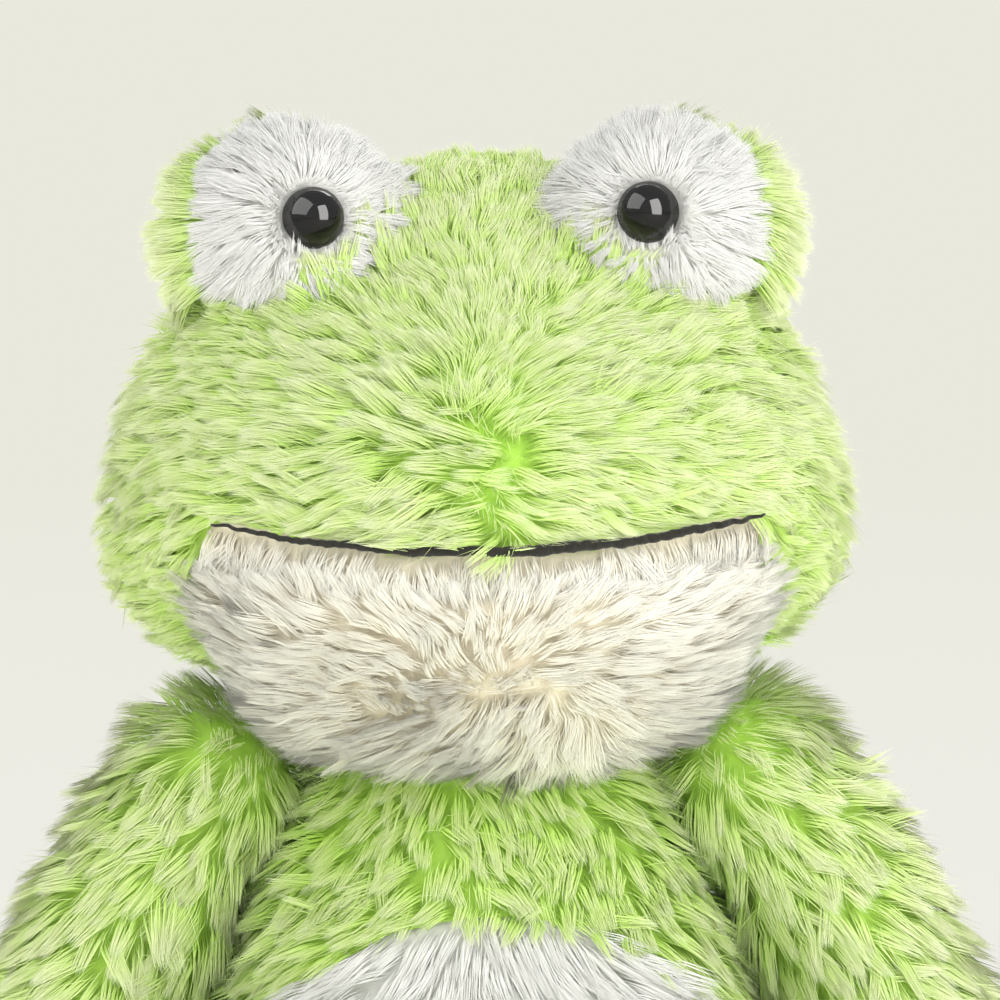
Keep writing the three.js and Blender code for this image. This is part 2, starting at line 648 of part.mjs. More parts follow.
// Trunk bag, with a dish for each limb's root, open at the neck, and its belly panel set in
const aboveNeck = beyond(vec(0, 0, neckHeight), vec(0, 0, 1), CROWN_HEIGHT);
const dishes = bothSides(shoulderBall(SEAM_GAP)).add(bothSides(hipBall(SEAM_GAP)));
const underSeat = (height) => beyond(vec(0, 0, height), vec(0, 0, -1), TRUNK_HEIGHT);
const trunkHollow = solid(skin(trunkForm, INNER_FACETS, -SKIN_WALL))
  .subtract(underSeat(SEAT_WALL))
  .add(solid(rodAtNeck(NECK_CORE_RADIUS)));
const trunkWhole = solid(skin(trunkForm, TRUNK_FACETS))
  .subtract(aboveNeck)
  .subtract(floorCut)
  .subtract(dishes);
const trunkBag = trunkWhole.subtract(trunkHollow);

// Stuffing that runs up from the trunk to the neck seam
function rodAtNeck(radius) {
  const neck = rod(radius, SKIN_WALL + 2 * OVERRUN).rotateX(Math.PI / 2);
  return neck.translate(0, 0, neckHeight - SKIN_WALL - OVERRUN);
}

// The belly's oval, seen from the front, as a block through the trunk's front wall.
function bellyOval(gap) {
  const oval = new THREE.Shape();
  oval.absellipse(0, 0, BELLY_HALF_WIDTH + gap, BELLY_HALF_HEIGHT + gap, 0, 2 * Math.PI, false);
  const block = new THREE.ExtrudeGeometry(oval, {
    depth: TRUNK_FRONT + SKIN_WALL,
    bevelEnabled: false,
    curveSegments: ROUND_STEPS,
  });
  return solid(block.rotateX(Math.PI / 2).translate(0, 0, BELLY_HEIGHT));
}
const trunkFur = trunkBag.subtract(bellyOval(SEAM_GAP));
const bellyPanel = trunkBag.intersect(bellyOval(0));

// The pellet pouch, a squashed ball lying on the seat's fabric
const trunkInside = solid(skin(trunkForm, INNER_FACETS, -SKIN_WALL - SEAM_GAP))
  .subtract(underSeat(SEAT_WALL + SEAM_GAP));
const pouchHeight = SEAT_WALL + SEAM_GAP + POUCH_HALF_HEIGHT - POUCH_FLAT;
function pouch(gap) {
  const round = indexed(new THREE.SphereGeometry(1, ROUND_STEPS, ROUND_STEPS / 2));
  round.scale(POUCH_HALF_WIDTH + gap, POUCH_HALF_DEPTH + gap, POUCH_HALF_HEIGHT + gap);
  return solid(round.translate(0, 0, pouchHeight));
}
const pelletPouch = pouch(0).intersect(trunkInside);
const trunkStuffing = trunkInside
  .add(solid(rodAtNeck(NECK_CORE_RADIUS - SEAM_GAP)))
  .subtract(aboveNeck)
  .subtract(dishes)
  .subtract(pouch(SEAM_GAP));

// Materials
const paint = (color, roughness) => new THREE.MeshStandardMaterial({ color, roughness, metalness: 0 });
const GREEN_FUR = paint(0xb4dc6e, 0.95);
const CREAM_FUR = paint(0xece6d6, 0.95);
const WHITE_FUR = paint(0xf4f4f2, 0.95);
const BLACK_CORD = paint(0x262420, 0.9);
const BLACK_PLASTIC = paint(0x0c0c0d, 0.12);
const CLEAR_NYLON = paint(0xe6e4de, 0.5);
const FIBRE = paint(0xf2f1ec, 1);
const POUCH_COTTON = paint(0xd9d2c0, 0.9);

function named(name, geometry, material) {
  const mesh = new THREE.Mesh(geometry, material);
  mesh.name = name;
  return mesh;
}

const frog = new THREE.Group();
frog.add(
  named("crown_fur", geometryOf(crown), GREEN_FUR),
  named("chin_panel", geometryOf(chin), CREAM_FUR),
  named("mouth_cord", mouthCord(CORD_RADIUS), BLACK_CORD),
  named("head_stuffing", geometryOf(headStuffing), FIBRE),
  named("trunk_fur", geometryOf(trunkFur), GREEN_FUR),
  named("belly_panel", geometryOf(bellyPanel), WHITE_FUR),
  named("trunk_stuffing", geometryOf(trunkStuffing), FIBRE),
  named("pellet_pouch", geometryOf(pelletPouch), POUCH_COTTON),
);

// What the frog has on each side, modelled on its left and mirrored for its right
function sidePieces(side) {
  const group = new THREE.Group();
  const eye = named(`${side}_eye`, eyeGeometry(), BLACK_PLASTIC);
  const washer = named(`${side}_eye_washer`, washerGeometry(), CLEAR_NYLON);
  for (const [piece, distance] of [
    [eye, eyeBase],
    [washer, washerOuter - WASHER_THICKNESS],
  ]) {
    piece.position.copy(moundCentre).addScaledVector(eyeAxis, distance);
    piece.quaternion.setFromUnitVectors(vec(0, 1, 0), eyeAxis);
  }
  group.add(
    named(`${side}_eye_mound`, geometryOf(mound), GREEN_FUR),
    named(`${side}_eye_patch`, geometryOf(patch), WHITE_FUR),
    named(`${side}_mound_stuffing`, geometryOf(moundStuffing), FIBRE),
    eye,
    washer,
    named(`${side}_arm_fur`, geometryOf(armBag), GREEN_FUR),
    named(`${side}_arm_stuffing`, geometryOf(armStuffing), FIBRE),
    named(`${side}_leg_fur`, geometryOf(legBag), GREEN_FUR),
    named(`${side}_leg_stuffing`, geometryOf(legStuffing), FIBRE),
  );
  return group;
}

const leftSide = sidePieces("left");
const rightSide = sidePieces("right");
rightSide.scale.x = -1;
frog.add(leftSide, rightSide);

export default frog;
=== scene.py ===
import math

import bmesh
import bpy
import numpy as np
from mathutils import Matrix, Vector
from mathutils.bvhtree import BVHTree
from mathutils.kdtree import KDTree


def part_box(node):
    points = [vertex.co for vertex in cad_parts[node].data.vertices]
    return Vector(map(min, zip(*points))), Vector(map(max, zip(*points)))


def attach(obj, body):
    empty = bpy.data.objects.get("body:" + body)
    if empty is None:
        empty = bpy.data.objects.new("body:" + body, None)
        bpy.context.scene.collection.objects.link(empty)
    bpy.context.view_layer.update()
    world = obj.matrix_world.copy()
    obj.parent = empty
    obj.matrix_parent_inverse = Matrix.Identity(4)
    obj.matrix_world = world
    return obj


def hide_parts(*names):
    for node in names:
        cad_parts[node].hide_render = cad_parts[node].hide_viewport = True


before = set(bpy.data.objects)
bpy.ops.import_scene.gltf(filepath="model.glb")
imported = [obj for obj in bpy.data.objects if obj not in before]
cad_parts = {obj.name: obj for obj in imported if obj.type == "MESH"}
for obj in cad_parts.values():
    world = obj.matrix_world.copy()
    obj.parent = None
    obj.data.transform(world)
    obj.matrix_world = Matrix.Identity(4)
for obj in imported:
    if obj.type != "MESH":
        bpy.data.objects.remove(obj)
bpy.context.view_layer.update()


# The camera stands a little under two metres in front of the muzzle, slightly above it and a touch
# to the frog's right, with a long lens that frames the head, the shoulders and the belly's top.
def placed(name, data):
    """A new object in the scene that shows this data."""
    made = bpy.data.objects.new(name, data)
    bpy.context.scene.collection.objects.link(made)
    return made


view_centre = Vector((0.004, -0.040, 0.2055))
view_distance = 1.7
view_turn = math.radians(-2.5)
view_rise = math.radians(4.2)
view_roll = math.radians(-0.9)
camera_data = bpy.data.cameras.new("portrait_lens")
camera_data.lens = 253
camera_data.clip_start = 0.05
camera_data.clip_end = 30
camera = placed("portrait_camera", camera_data)
backwards = Vector((
    math.sin(view_turn) * math.cos(view_rise),
    -math.cos(view_turn) * math.cos(view_rise),
    math.sin(view_rise),
))
camera.location = view_centre + backwards * view_distance
facing = (-backwards).to_track_quat("-Z", "Y").to_matrix().to_4x4()
camera.rotation_euler = (facing @ Matrix.Rotation(view_roll, 4, "Z")).to_euler()
bpy.context.scene.camera = camera
bpy.context.scene.view_settings.view_transform = "Standard"


# A pale round studio floor. It keeps the frog's soft shadow round the seat and runs out, further
# off, into the same warm white as the backdrop, so that no horizon shows. Light that it throws
# back over more than a hand's width is brighter, like that of a wide white table.
backdrop_white = (0.82, 0.812, 0.728, 1)
floor_white = (0.86, 0.852, 0.795, 1)
paper_white = (0.80, 0.795, 0.75, 1)
paper_in_gloss = (0.10, 0.10, 0.09, 1)
paper_bounce = (1.5, 1.49, 1.4, 1)
bounce_reach = 0.13


def feed(tree, source, target):
    """Links another node's output to this input, or gives the input a plain value."""
    if isinstance(source, bpy.types.NodeSocket):
        tree.links.new(source, target)
    else:
        target.default_value = source


def colour_mix(tree, factor, first, second):
    """A colour between the first and the second."""
    mix = tree.nodes.new("ShaderNodeMix")
    mix.data_type = "RGBA"
    feed(tree, factor, mix.inputs["Factor"])
    feed(tree, first, mix.inputs["A"])
    feed(tree, second, mix.inputs["B"])
    return mix.outputs["Result"]


def shader_mix(tree, factor, first, second):
    """A surface or a sky between the first and the second."""
    mix = tree.nodes.new("ShaderNodeMixShader")
    feed(tree, factor, mix.inputs["Fac"])
    feed(tree, first, mix.inputs[1])
    feed(tree, second, mix.inputs[2])
    return mix.outputs["Shader"]


def number(tree, operation, first, second):
    """The outcome of this operation on two numbers."""
    sum_node = tree.nodes.new("ShaderNodeMath")
    sum_node.operation = operation
    feed(tree, first, sum_node.inputs[0])
    feed(tree, second, sum_node.inputs[1])
    return sum_node.outputs["Value"]


def eased(tree, value, start, end, least=0, most=1, interpolation="LINEAR"):
    """A number from least to most, as the value goes from start to end."""
    span = tree.nodes.new("ShaderNodeMapRange")
    span.interpolation_type = interpolation
    span.inputs["From Min"].default_value = start
    span.inputs["From Max"].default_value = end
    span.inputs["To Min"].default_value = least
    span.inputs["To Max"].default_value = most
    tree.links.new(value, span.inputs["Value"])
    return span.outputs["Result"]


floor_form = bmesh.new()
bmesh.ops.create_circle(floor_form, cap_ends=True, segments=96, radius=6)
floor_mesh = bpy.data.meshes.new("studio_floor")
floor_form.to_mesh(floor_mesh)
floor_form.free()
studio_floor = placed("studio_floor", floor_mesh)

floor_finish = bpy.data.materials.new("studio_paper")
floor_finish.use_nodes = True
tree = floor_finish.node_tree
paper = tree.nodes["Principled BSDF"]
paper.inputs["Roughness"].default_value = 0.9
places = tree.nodes.new("ShaderNodeTexCoord")
distance = tree.nodes.new("ShaderNodeVectorMath")
distance.operation = "LENGTH"
tree.links.new(places.outputs["Object"], distance.inputs[0])
run_out = eased(tree, distance.outputs["Value"], 0.25, 0.6, interpolation="SMOOTHSTEP")
fade = eased(tree, distance.outputs["Value"], 0.5, 3)
far_paper = tree.nodes.new("ShaderNodeEmission")
feed(tree, colour_mix(tree, fade, floor_white, backdrop_white), far_paper.inputs["Color"])
sight = tree.nodes.new("ShaderNodeLightPath")
seen = number(tree, "MULTIPLY", sight.outputs["Is Camera Ray"], run_out)
tint = colour_mix(tree, sight.outputs["Is Glossy Ray"], paper_white, paper_in_gloss)
beyond = number(tree, "GREATER_THAN", sight.outputs["Ray Length"], bounce_reach)
from_afar = number(tree, "MULTIPLY", sight.outputs["Is Diffuse Ray"], beyond)
feed(tree, colour_mix(tree, from_afar, tint, paper_bounce), paper.inputs["Base Color"])
blended = shader_mix(tree, seen, paper.outputs["BSDF"], far_paper.outputs["Emission"])
feed(tree, blended, tree.nodes["Material Output"].inputs["Surface"])
floor_mesh.materials.append(floor_finish)


# The studio round the frog: a warm white backdrop, a broad light from the front that fills the
# pile, a tall window to the frog's left, and softer lamps above its right and behind it.
front_way = (0.12, -0.985, -0.08)
glossy_room = 0.12
studio = bpy.data.worlds.new("studio")
bpy.context.scene.world = studio
studio.use_nodes = True
tree = studio.node_tree
room_light = tree.nodes["Background"]
room_light.inputs["Color"].default_value = (1.0, 0.995, 0.975, 1)
backdrop = tree.nodes.new("ShaderNodeBackground")
backdrop.inputs["Color"].default_value = backdrop_white
sight = tree.nodes.new("ShaderNodeLightPath")
way = tree.nodes.new("ShaderNodeTexCoord")
facing_side = tree.nodes.new("ShaderNodeVectorMath")
facing_side.operation = "DOT_PRODUCT"
facing_side.inputs[1].default_value = front_way
tree.links.new(way.outputs["Generated"], facing_side.inputs[0])
front_fill = eased(tree, facing_side.outputs["Value"], 0.3, 0.95, 0.57, 1.92, "SMOOTHSTEP")
dim = tree.nodes.new("ShaderNodeMix")
feed(tree, sight.outputs["Is Glossy Ray"], dim.inputs["Factor"])
feed(tree, front_fill, dim.inputs["A"])
feed(tree, glossy_room, dim.inputs["B"])
feed(tree, dim.outputs["Result"], room_light.inputs["Strength"])
sky = shader_mix(
    tree, sight.outputs["Is Camera Ray"], room_light.outputs["Background"],
    backdrop.outputs["Background"],
)
feed(tree, sky, tree.nodes["World Output"].inputs["Surface"])


def softbox(name, place, aim, width, height, watts, colour):
    """A soft rectangular studio lamp, its face turned to a point on the frog."""
    data = bpy.data.lights.new(name, "AREA")
    data.shape = "RECTANGLE"
    data.size = width
    data.size_y = height
    data.energy = watts
    data.color = colour
    lamp = placed(name, data)
    lamp.location = place
    lamp.rotation_euler = (Vector(aim) - Vector(place)).to_track_quat("-Z", "Y").to_euler()


softbox("window_softbox", (0.78, -1.06, 0.52), (0, -0.03, 0.2), 0.95, 1.9, 10, (1, 0.99, 0.97))
softbox("upper_softbox", (-1.0, -0.5, 1.15), (0, -0.03, 0.2), 1.8, 1.5, 5.6, (1, 1, 0.99))
softbox("back_softbox", (0.2, 1.2, 1.1), (0, 0, 0.2), 1.2, 0.8, 5.0, (1, 0.995, 0.98))


# The head's crown: two muzzle halves that meet in a seam down the middle of the face, and the back
# of the head. Each is a panel of knitted backing with long lime pile, sewn edge to edge over loose
# fibre. The pile is combed away from the middle of the muzzle and falls in pointed locks.
fur_seed = 20
form_voxel = 0.003
backing_depth = 0.0045
backing_thickness = 0.0015
root_depth = 0.0006
least_height = 0.0004
resting_height = 0.012
resting_depth = 0.0012
neighbour_reach = 0.014
tuft_locks = 9
lower_share = 0.42
upper_share = 0.62
strand_flatness = 0.7

# Each strand's colour comes from its place in the UV map: across is its tone, one of a number of
# narrow columns, and up is the way from root to tip. The backing has the upper half of the map.
tone_count = 64
tone_width = 1 / 256
strand_v = 0.5

# What a glossy ray sees of the pile is dimmed. What a diffuse ray sees of it from close by is
# brighter, as thin fibres pass light on.
gloss_dimming = 0.75
pile_glow = 1.45
glow_reach = 0.03


def closed_form(name, node_names, rounds):
    """The closed outer skin round copies of these CAD nodes, smoothed in that many rounds."""
    merged = bmesh.new()
    for node_name in node_names:
        merged.from_mesh(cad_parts[node_name].data)
    bmesh.ops.remove_doubles(merged, verts=merged.verts, dist=1e-6)
    mesh = bpy.data.meshes.new(name)
    merged.to_mesh(mesh)
    merged.free()
    lump = placed(name, mesh)
    remesh = lump.modifiers.new("Remesh", "REMESH")
    remesh.mode = "VOXEL"
    remesh.voxel_size = form_voxel
    graph = bpy.context.evaluated_depsgraph_get()
    made = bpy.data.meshes.new_from_object(lump.evaluated_get(graph))
    bpy.data.objects.remove(lump)
    bpy.data.meshes.remove(mesh)
    form = bmesh.new()
    form.from_mesh(made)
    bpy.data.meshes.remove(made)
    for _ in range(rounds):
        bmesh.ops.smooth_vert(
            form, verts=form.verts, factor=0.5, use_axis_x=True, use_axis_y=True, use_axis_z=True
        )
    form.normal_update()
    return form


def nearest_to(node_names):
    """A search tree of these CAD nodes' surfaces."""
    joined = bmesh.new()
    for node_name in node_names:
        joined.from_mesh(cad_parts[node_name].data)
    tree = BVHTree.FromBMesh(joined)
    joined.free()
    return tree


def panels_of(form, node_names):
    """Which of these CAD nodes each face of the form stands for."""
    trees = [nearest_to([node_name]) for node_name in node_names]
    owners = []
    for face in form.faces:
        centre = face.calc_center_median()
        reach = [tree.find_nearest(centre)[3] for tree in trees]
        owners.append(node_names[int(np.argmin(reach))])
    return owners


def faces_of(owners, node_name, wanted=None):
    """The indices of the faces that stand for a CAD node, all or only the wanted ones."""
    return [
        index for index, owner in enumerate(owners)
        if owner == node_name and (wanted is None or wanted[index])
    ]


def fabric_panel(form, faces):
    """The form's faces with these indices as one sheet of backing, sunk below the pressed pile."""
    sheet = form.copy()
    sheet.verts.ensure_lookup_table()
    sheet.faces.ensure_lookup_table()
    normals = np.array([vert.normal for vert in sheet.verts])
    places = np.array([vert.co for vert in sheet.verts])
    resting = np.clip((resting_height - places[:, 2]) / resting_height, 0, 1)
    resting = resting * np.clip(-normals[:, 2], 0, 1)
    depths = backing_depth - resting * (backing_depth - resting_depth)
    places = places - normals * depths[:, None]
    for vert, place in zip(sheet.verts, places):
        vert.co = place
    kept = set(faces)
    others = [face for face in sheet.faces if face.index not in kept]
    bmesh.ops.delete(sheet, geom=others, context="FACES")
    pinched = [
        vert for vert in sheet.verts if sum(edge.is_boundary for edge in vert.link_edges) > 2
    ]
    corner_faces = {face for vert in pinched for face in vert.link_faces}
    bmesh.ops.delete(sheet, geom=list(corner_faces), context="FACES")
    sheet.normal_update()
    return sheet


def backing_of(sheet):
    """The sheet of fabric with its real thickness, as a closed form."""
    shell = sheet.copy()
    shell.normal_update()
    inside = {tuple(vert.co): vert.co - vert.normal * backing_thickness for vert in shell.verts}
    closed = not any(edge.is_boundary for edge in shell.edges)
    grown = bmesh.ops.extrude_face_region(shell, geom=shell.faces[:], use_keep_orig=True)["geom"]
    inner_faces = []
    for part in grown:
        if isinstance(part, bmesh.types.BMVert):
            part.co = inside[tuple(part.co)]
        elif isinstance(part, bmesh.types.BMFace):
            inner_faces.append(part)
    bmesh.ops.recalc_face_normals(shell, faces=shell.faces)
    if closed:
        bmesh.ops.reverse_faces(shell, faces=inner_faces)
    shell.verts.index_update()
    shell.normal_update()
    return shell


def scattered(sheet, count, rng):
    """Points spread evenly over a sheet of fabric, with its smooth normals there."""
    split = sheet.copy()
    bmesh.ops.triangulate(split, faces=split.faces)
    split.verts.index_update()
    places = np.array([vert.co for vert in split.verts])
    normals = np.array([vert.normal for vert in split.verts])
    corners = np.array([[vert.index for vert in face.verts] for face in split.faces])
    split.free()
    a, b, c = (places[corners[:, k]] for k in range(3))
    areas = np.linalg.norm(np.cross(b - a, c - a), axis=1)
    chosen = rng.choice(len(corners), count, p=areas / areas.sum())
    first = rng.random(count)
    second = rng.random(count)
    over = first + second > 1
    first[over] = 1 - first[over]
    second[over] = 1 - second[over]
    weights = np.stack([1 - first - second, first, second], 1)[:, :, None]
    points = (places[corners[chosen]] * weights).sum(1)
    facing = (normals[corners[chosen]] * weights).sum(1)
    return points, facing / np.linalg.norm(facing, axis=1, keepdims=True)


def unit(vectors):
    """The same directions with a length of one."""
    return vectors / np.maximum(np.linalg.norm(vectors, axis=1, keepdims=True), 1e-9)


def turned(vectors, axes, angles):
    """Each vector turned about its own axis, to which it is square."""
    return vectors * np.cos(angles)[:, None] + np.cross(axes, vectors) * np.sin(angles)[:, None]


def nearest_index(points, leaders):
    """For each point, the index of the leader that it is nearest to."""
    tree = KDTree(len(leaders))
    for index, leader in enumerate(leaders):
        tree.insert(leader, index)
    tree.balance()
    return np.array([tree.find(point)[1] for point in points])


def mottle(points, size, seed):
    """A smooth random value from 0 to 1 that changes over about that distance."""
    rng = np.random.default_rng(seed)
    waves = unit(rng.normal(size=(9, 3))) * (2 * math.pi / size) * rng.uniform(0.6, 1.5, (9, 1))
    heights = np.cos(points @ waves.T + rng.uniform(0, 2 * math.pi, 9)).sum(1)
    return np.clip(0.5 + heights / 7, 0, 1)


def strand_shape():
    """One fibre as a slim closed spindle, widest in its middle: across, thick and along shares."""
    spindle = bmesh.new()
    bmesh.ops.create_uvsphere(spindle, u_segments=3, v_segments=2, radius=1)
    bmesh.ops.translate(spindle, verts=spindle.verts, vec=(0, 0, 1))
    bmesh.ops.scale(spindle, verts=spindle.verts, vec=(1, 1, 0.5))
    spindle.verts.index_update()
    shape = np.array([vert.co for vert in spindle.verts])
    corners = np.array([[vert.index for vert in face.verts] for face in spindle.faces])
    spindle.free()
    return shape, corners


strand, strand_corners = strand_shape()


def fur_material(name, ramps, backing):
    """Pile whose colour runs from root to tip along each strand, deeper or paler from strand to
    strand, and the knitted backing under it. Light that comes from close by glows through it."""
    finish = bpy.data.materials.new(name)
    finish.use_nodes = True
    tree = finish.node_tree
    fibre = tree.nodes["Principled BSDF"]
    fibre.inputs["Roughness"].default_value = 0.85
    fibre.inputs["Specular IOR Level"].default_value = 0.06
    fibre.inputs["Sheen Weight"].default_value = 0.03
    along = tree.nodes.new("ShaderNodeUVMap")
    along.uv_map = "OFBake"
    parts = tree.nodes.new("ShaderNodeSeparateXYZ")
    tree.links.new(along.outputs["UV"], parts.inputs["Vector"])
    colours = []
    for ramp_stops in ramps:
        ramp = tree.nodes.new("ShaderNodeValToRGB")
        stops = ramp.color_ramp.elements
        while len(stops) < len(ramp_stops):
            stops.new(0.5)
        for stop, (share, colour) in zip(stops, ramp_stops):
            stop.position = share * strand_v
            stop.color = colour
        tree.links.new(parts.outputs["Y"], ramp.inputs["Fac"])
        colours.append(ramp.outputs["Color"])
    strands = colour_mix(tree, parts.outputs["X"], *colours)
    knit = tree.nodes.new("ShaderNodeTexNoise")
    knit.inputs["Scale"].default_value = 90
    knit.inputs["Detail"].default_value = 4
    tree.links.new(along.outputs["UV"], knit.inputs["Vector"])
    ground = colour_mix(tree, knit.outputs["Fac"], backing, ramps[0][1][1])
    on_backing = number(tree, "GREATER_THAN", parts.outputs["Y"], strand_v + 0.01)
    whole = colour_mix(tree, on_backing, strands, ground)
    sight = tree.nodes.new("ShaderNodeLightPath")
    mirrored = number(tree, "MULTIPLY", sight.outputs["Is Glossy Ray"], gloss_dimming)
    dimmed = colour_mix(tree, mirrored, whole, (0, 0, 0, 1))
    glow = tree.nodes.new("ShaderNodeVectorMath")
    glow.operation = "SCALE"
    glow.inputs["Scale"].default_value = pile_glow
    tree.links.new(dimmed, glow.inputs[0])
    within = number(tree, "LESS_THAN", sight.outputs["Ray Length"], glow_reach)
    inside = number(tree, "MULTIPLY", sight.outputs["Is Diffuse Ray"], within)
    lit_through = colour_mix(tree, inside, dimmed, glow.outputs["Vector"])
    feed(tree, lit_through, fibre.inputs["Base Color"])
    return finish


def furred(name, sheet, comb, finish, body, count, seed, length=0.017, width=0.00027, lift=(62, 12),
           lock=26, gather=0.5, stray=0.06, swirl=12, depth_room=0.0100, tone=None, clear_of=None,
           shape=None, keep=None, bare=None):
    """A fur panel as one piece: its backing as a closed shell and its pile as closed strands that
    gather in locks, and locks in tufts. comb gives the way the pile lies at each point, shape its
    share of the length, its rise in degrees and how far it gathers, and tone its paleness. keep
    moves points that may not lie where they are, and nothing grows where bare holds."""
    rng = np.random.default_rng(fur_seed + seed)
    roots, normals = scattered(sheet, count, rng)
    if bare is not None:
        grown = ~bare(roots)
        roots = roots[grown]
        normals = normals[grown]
        count = len(roots)
    flow = unit(comb(roots, normals))
    flow = flow - (flow * normals).sum(1, keepdims=True) * normals
    slack = np.clip(1 - 2 * np.linalg.norm(flow, axis=1), 0, 1)
    flow = unit(flow)
    leaders = np.arange(max(2, count // lock))
    lock_of = nearest_index(roots, roots[leaders])
    tufts = np.arange(max(2, len(leaders) // tuft_locks))
    tuft_of = nearest_index(roots[leaders], roots[tufts])[lock_of]
    strays = rng.random(count) < stray
    strays[leaders] = False
    spread = math.radians(swirl)
    turn = rng.normal(0, spread, len(tufts))[tuft_of]
    turn += rng.normal(0, spread, len(leaders))[lock_of]
    turn += rng.normal(0, spread * 0.3, count) * np.where(strays, 6, 1)
    flow = turned(flow, normals, turn)
    rise = rng.normal(0, 5, len(tufts))[tuft_of] + rng.normal(0, 6, len(leaders))[lock_of]
    rise += rng.normal(0, 2.5, count) + np.where(strays, 10, 0) + 50 * slack
    reach = length * np.ones(count)
    reach *= 1 + rng.normal(0, 0.1, len(leaders))[lock_of] + rng.normal(0, 0.04, count)
    thick = width * rng.uniform(0.75, 1.25, count) * np.where(strays, 0.6, 1)
    gather_share = np.ones(count)
    if shape is not None:
        reach_share, rise_add, gather_share = shape(roots, normals)
        reach *= reach_share
        rise += rise_add
    rise_start = np.radians(np.clip(lift[0] + rise, 8, 88))[:, None]
    rise_end = np.radians(np.clip(lift[1] + rise, -30, 80))[:, None]
    start = normals * np.sin(rise_start) + flow * np.cos(rise_start)
    end = normals * np.sin(rise_end) + flow * np.cos(rise_end)
    foot = roots - normals * root_depth
    middle = foot + start * (reach * lower_share)[:, None]
    tip = middle + end * (reach * upper_share)[:, None]
    pull = gather_share * gather * rng.uniform(0.75, 1.15, count)
    pull = np.where(strays, 0.05, pull)[:, None]
    tip = tip + (tip[leaders][lock_of] - tip) * pull
    middle = middle + (middle[leaders][lock_of] - middle) * pull * 0.4
    height = ((tip - roots) * normals).sum(1)
    room = np.full(count, depth_room) * np.where(strays, 1.25, 1)
    if clear_of is not None:
        for index, root in enumerate(roots):
            place = root + normals[index] * backing_depth
            found = clear_of.find_nearest(Vector(place), neighbour_reach)[3]
            if found is not None:
                room[index] = min(room[index], backing_depth - 0.0005 + 0.8 * found)
    press = np.minimum(1, room / np.maximum(height, 1e-6))
    for points in (middle, tip):
        above = ((points - roots) * normals).sum(1)
        points -= normals * (above * (1 - np.where(above > 0, press, 1)))[:, None]
    for points in (foot, middle, tip):
        points[:, 2] = np.maximum(points[:, 2], least_height)
        if keep is not None:
            keep(points)

    share = strand[:, 2][None, :, None]
    line = (
        foot[:, None] * (1 - share) ** 2
        + middle[:, None] * 2 * share * (1 - share)
        + tip[:, None] * share ** 2
    )
    along = unit(tip - foot)
    across = unit(np.cross(along, normals))
    over = np.cross(along, across)
    half = (thick / 2)[:, None, None]
    places = line + across[:, None] * strand[None, :, 0:1] * half
    places += over[:, None] * strand[None, :, 1:2] * half * strand_flatness
    rounded = across[:, None] * strand[None, :, 0:1] + over[:, None] * strand[None, :, 1:2]
    shading = unit((0.2 * rounded + normals[:, None]).reshape(-1, 3))
    faces = strand_corners[None] + (np.arange(count) * len(strand))[:, None, None]
    faces = faces.reshape(-1, 3)

    tone_value = np.full(count, 0.5) if tone is None else tone(roots, normals)
    tone_value = tone_value + rng.normal(0, 0.08, len(leaders))[lock_of]
    tone_value += rng.normal(0, 0.06, count) + np.where(strays, 0.15, 0)
    column = np.clip(np.round(tone_value * (tone_count - 1)), 0, tone_count - 1)
    column = (column + 0.3) / tone_count

    shell = backing_of(sheet)
    shell_places = np.array([vert.co for vert in shell.verts])
    shell_shading = np.array([vert.normal for vert in shell.verts])
    shell_corners = [[vert.index for vert in face.verts] for face in shell.faces]
    shell.free()
    first_vert = count * len(strand)
    shell_faces = [[first_vert + index for index in corners] for corners in shell_corners]
    mesh = bpy.data.meshes.new(name)
    mesh.from_pydata(
        np.concatenate([places.reshape(-1, 3), shell_places]), [], faces.tolist() + shell_faces
    )
    mesh.polygons.foreach_set("use_smooth", np.ones(len(mesh.polygons), bool))
    layer = mesh.uv_layers.new(name="OFBake")
    corner_u = (strand[strand_corners][:, :, 0] + 1) / 2 * tone_width
    corner_v = strand[strand_corners][:, :, 2]
    strand_uv = np.empty((count, len(strand_corners), 3, 2))
    strand_uv[..., 0] = column[:, None, None] + corner_u[None]
    strand_uv[..., 1] = corner_v[None] * strand_v * 0.98 + 0.004
    spots = shell_places[np.concatenate(shell_corners)]
    box_low = shell_places.min(0)
    box_size = np.maximum(np.ptp(shell_places, axis=0), 1e-6)
    shares = (spots - box_low) / box_size
    shell_uv = np.stack([0.02 + 0.96 * (0.8 * shares[:, 0] + 0.2 * shares[:, 1]),
                         0.55 + 0.43 * (0.8 * shares[:, 2] + 0.2 * shares[:, 1])], 1)
    layer.data.foreach_set(
        "uv", np.concatenate([strand_uv.reshape(-1, 2), shell_uv]).astype(np.float32).ravel()
    )
    mesh.materials.append(finish)
    mesh.update()
    mesh.normals_split_custom_set_from_vertices(np.concatenate([shading, shell_shading]).tolist())
    piece = placed(name, mesh)
    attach(piece, body)
    return piece


# The green ramps are deeper and more saturated towards the root: partly the pile's own colour,
# partly painted shade down between the strands.
green_pile = fur_material(
    "lime_pile",
    (
        ((0, (0.36, 0.70, 0.04, 1)), (0.45, (0.45, 0.75, 0.09, 1)),
         (0.78, (0.64, 0.82, 0.28, 1)), (1, (0.78, 0.88, 0.52, 1))),
        ((0, (0.48, 0.78, 0.12, 1)), (0.45, (0.62, 0.83, 0.26, 1)),
         (0.78, (0.79, 0.88, 0.48, 1)), (1, (0.89, 0.93, 0.71, 1))),
    ),
    (0.46, 0.70, 0.15, 1),
)

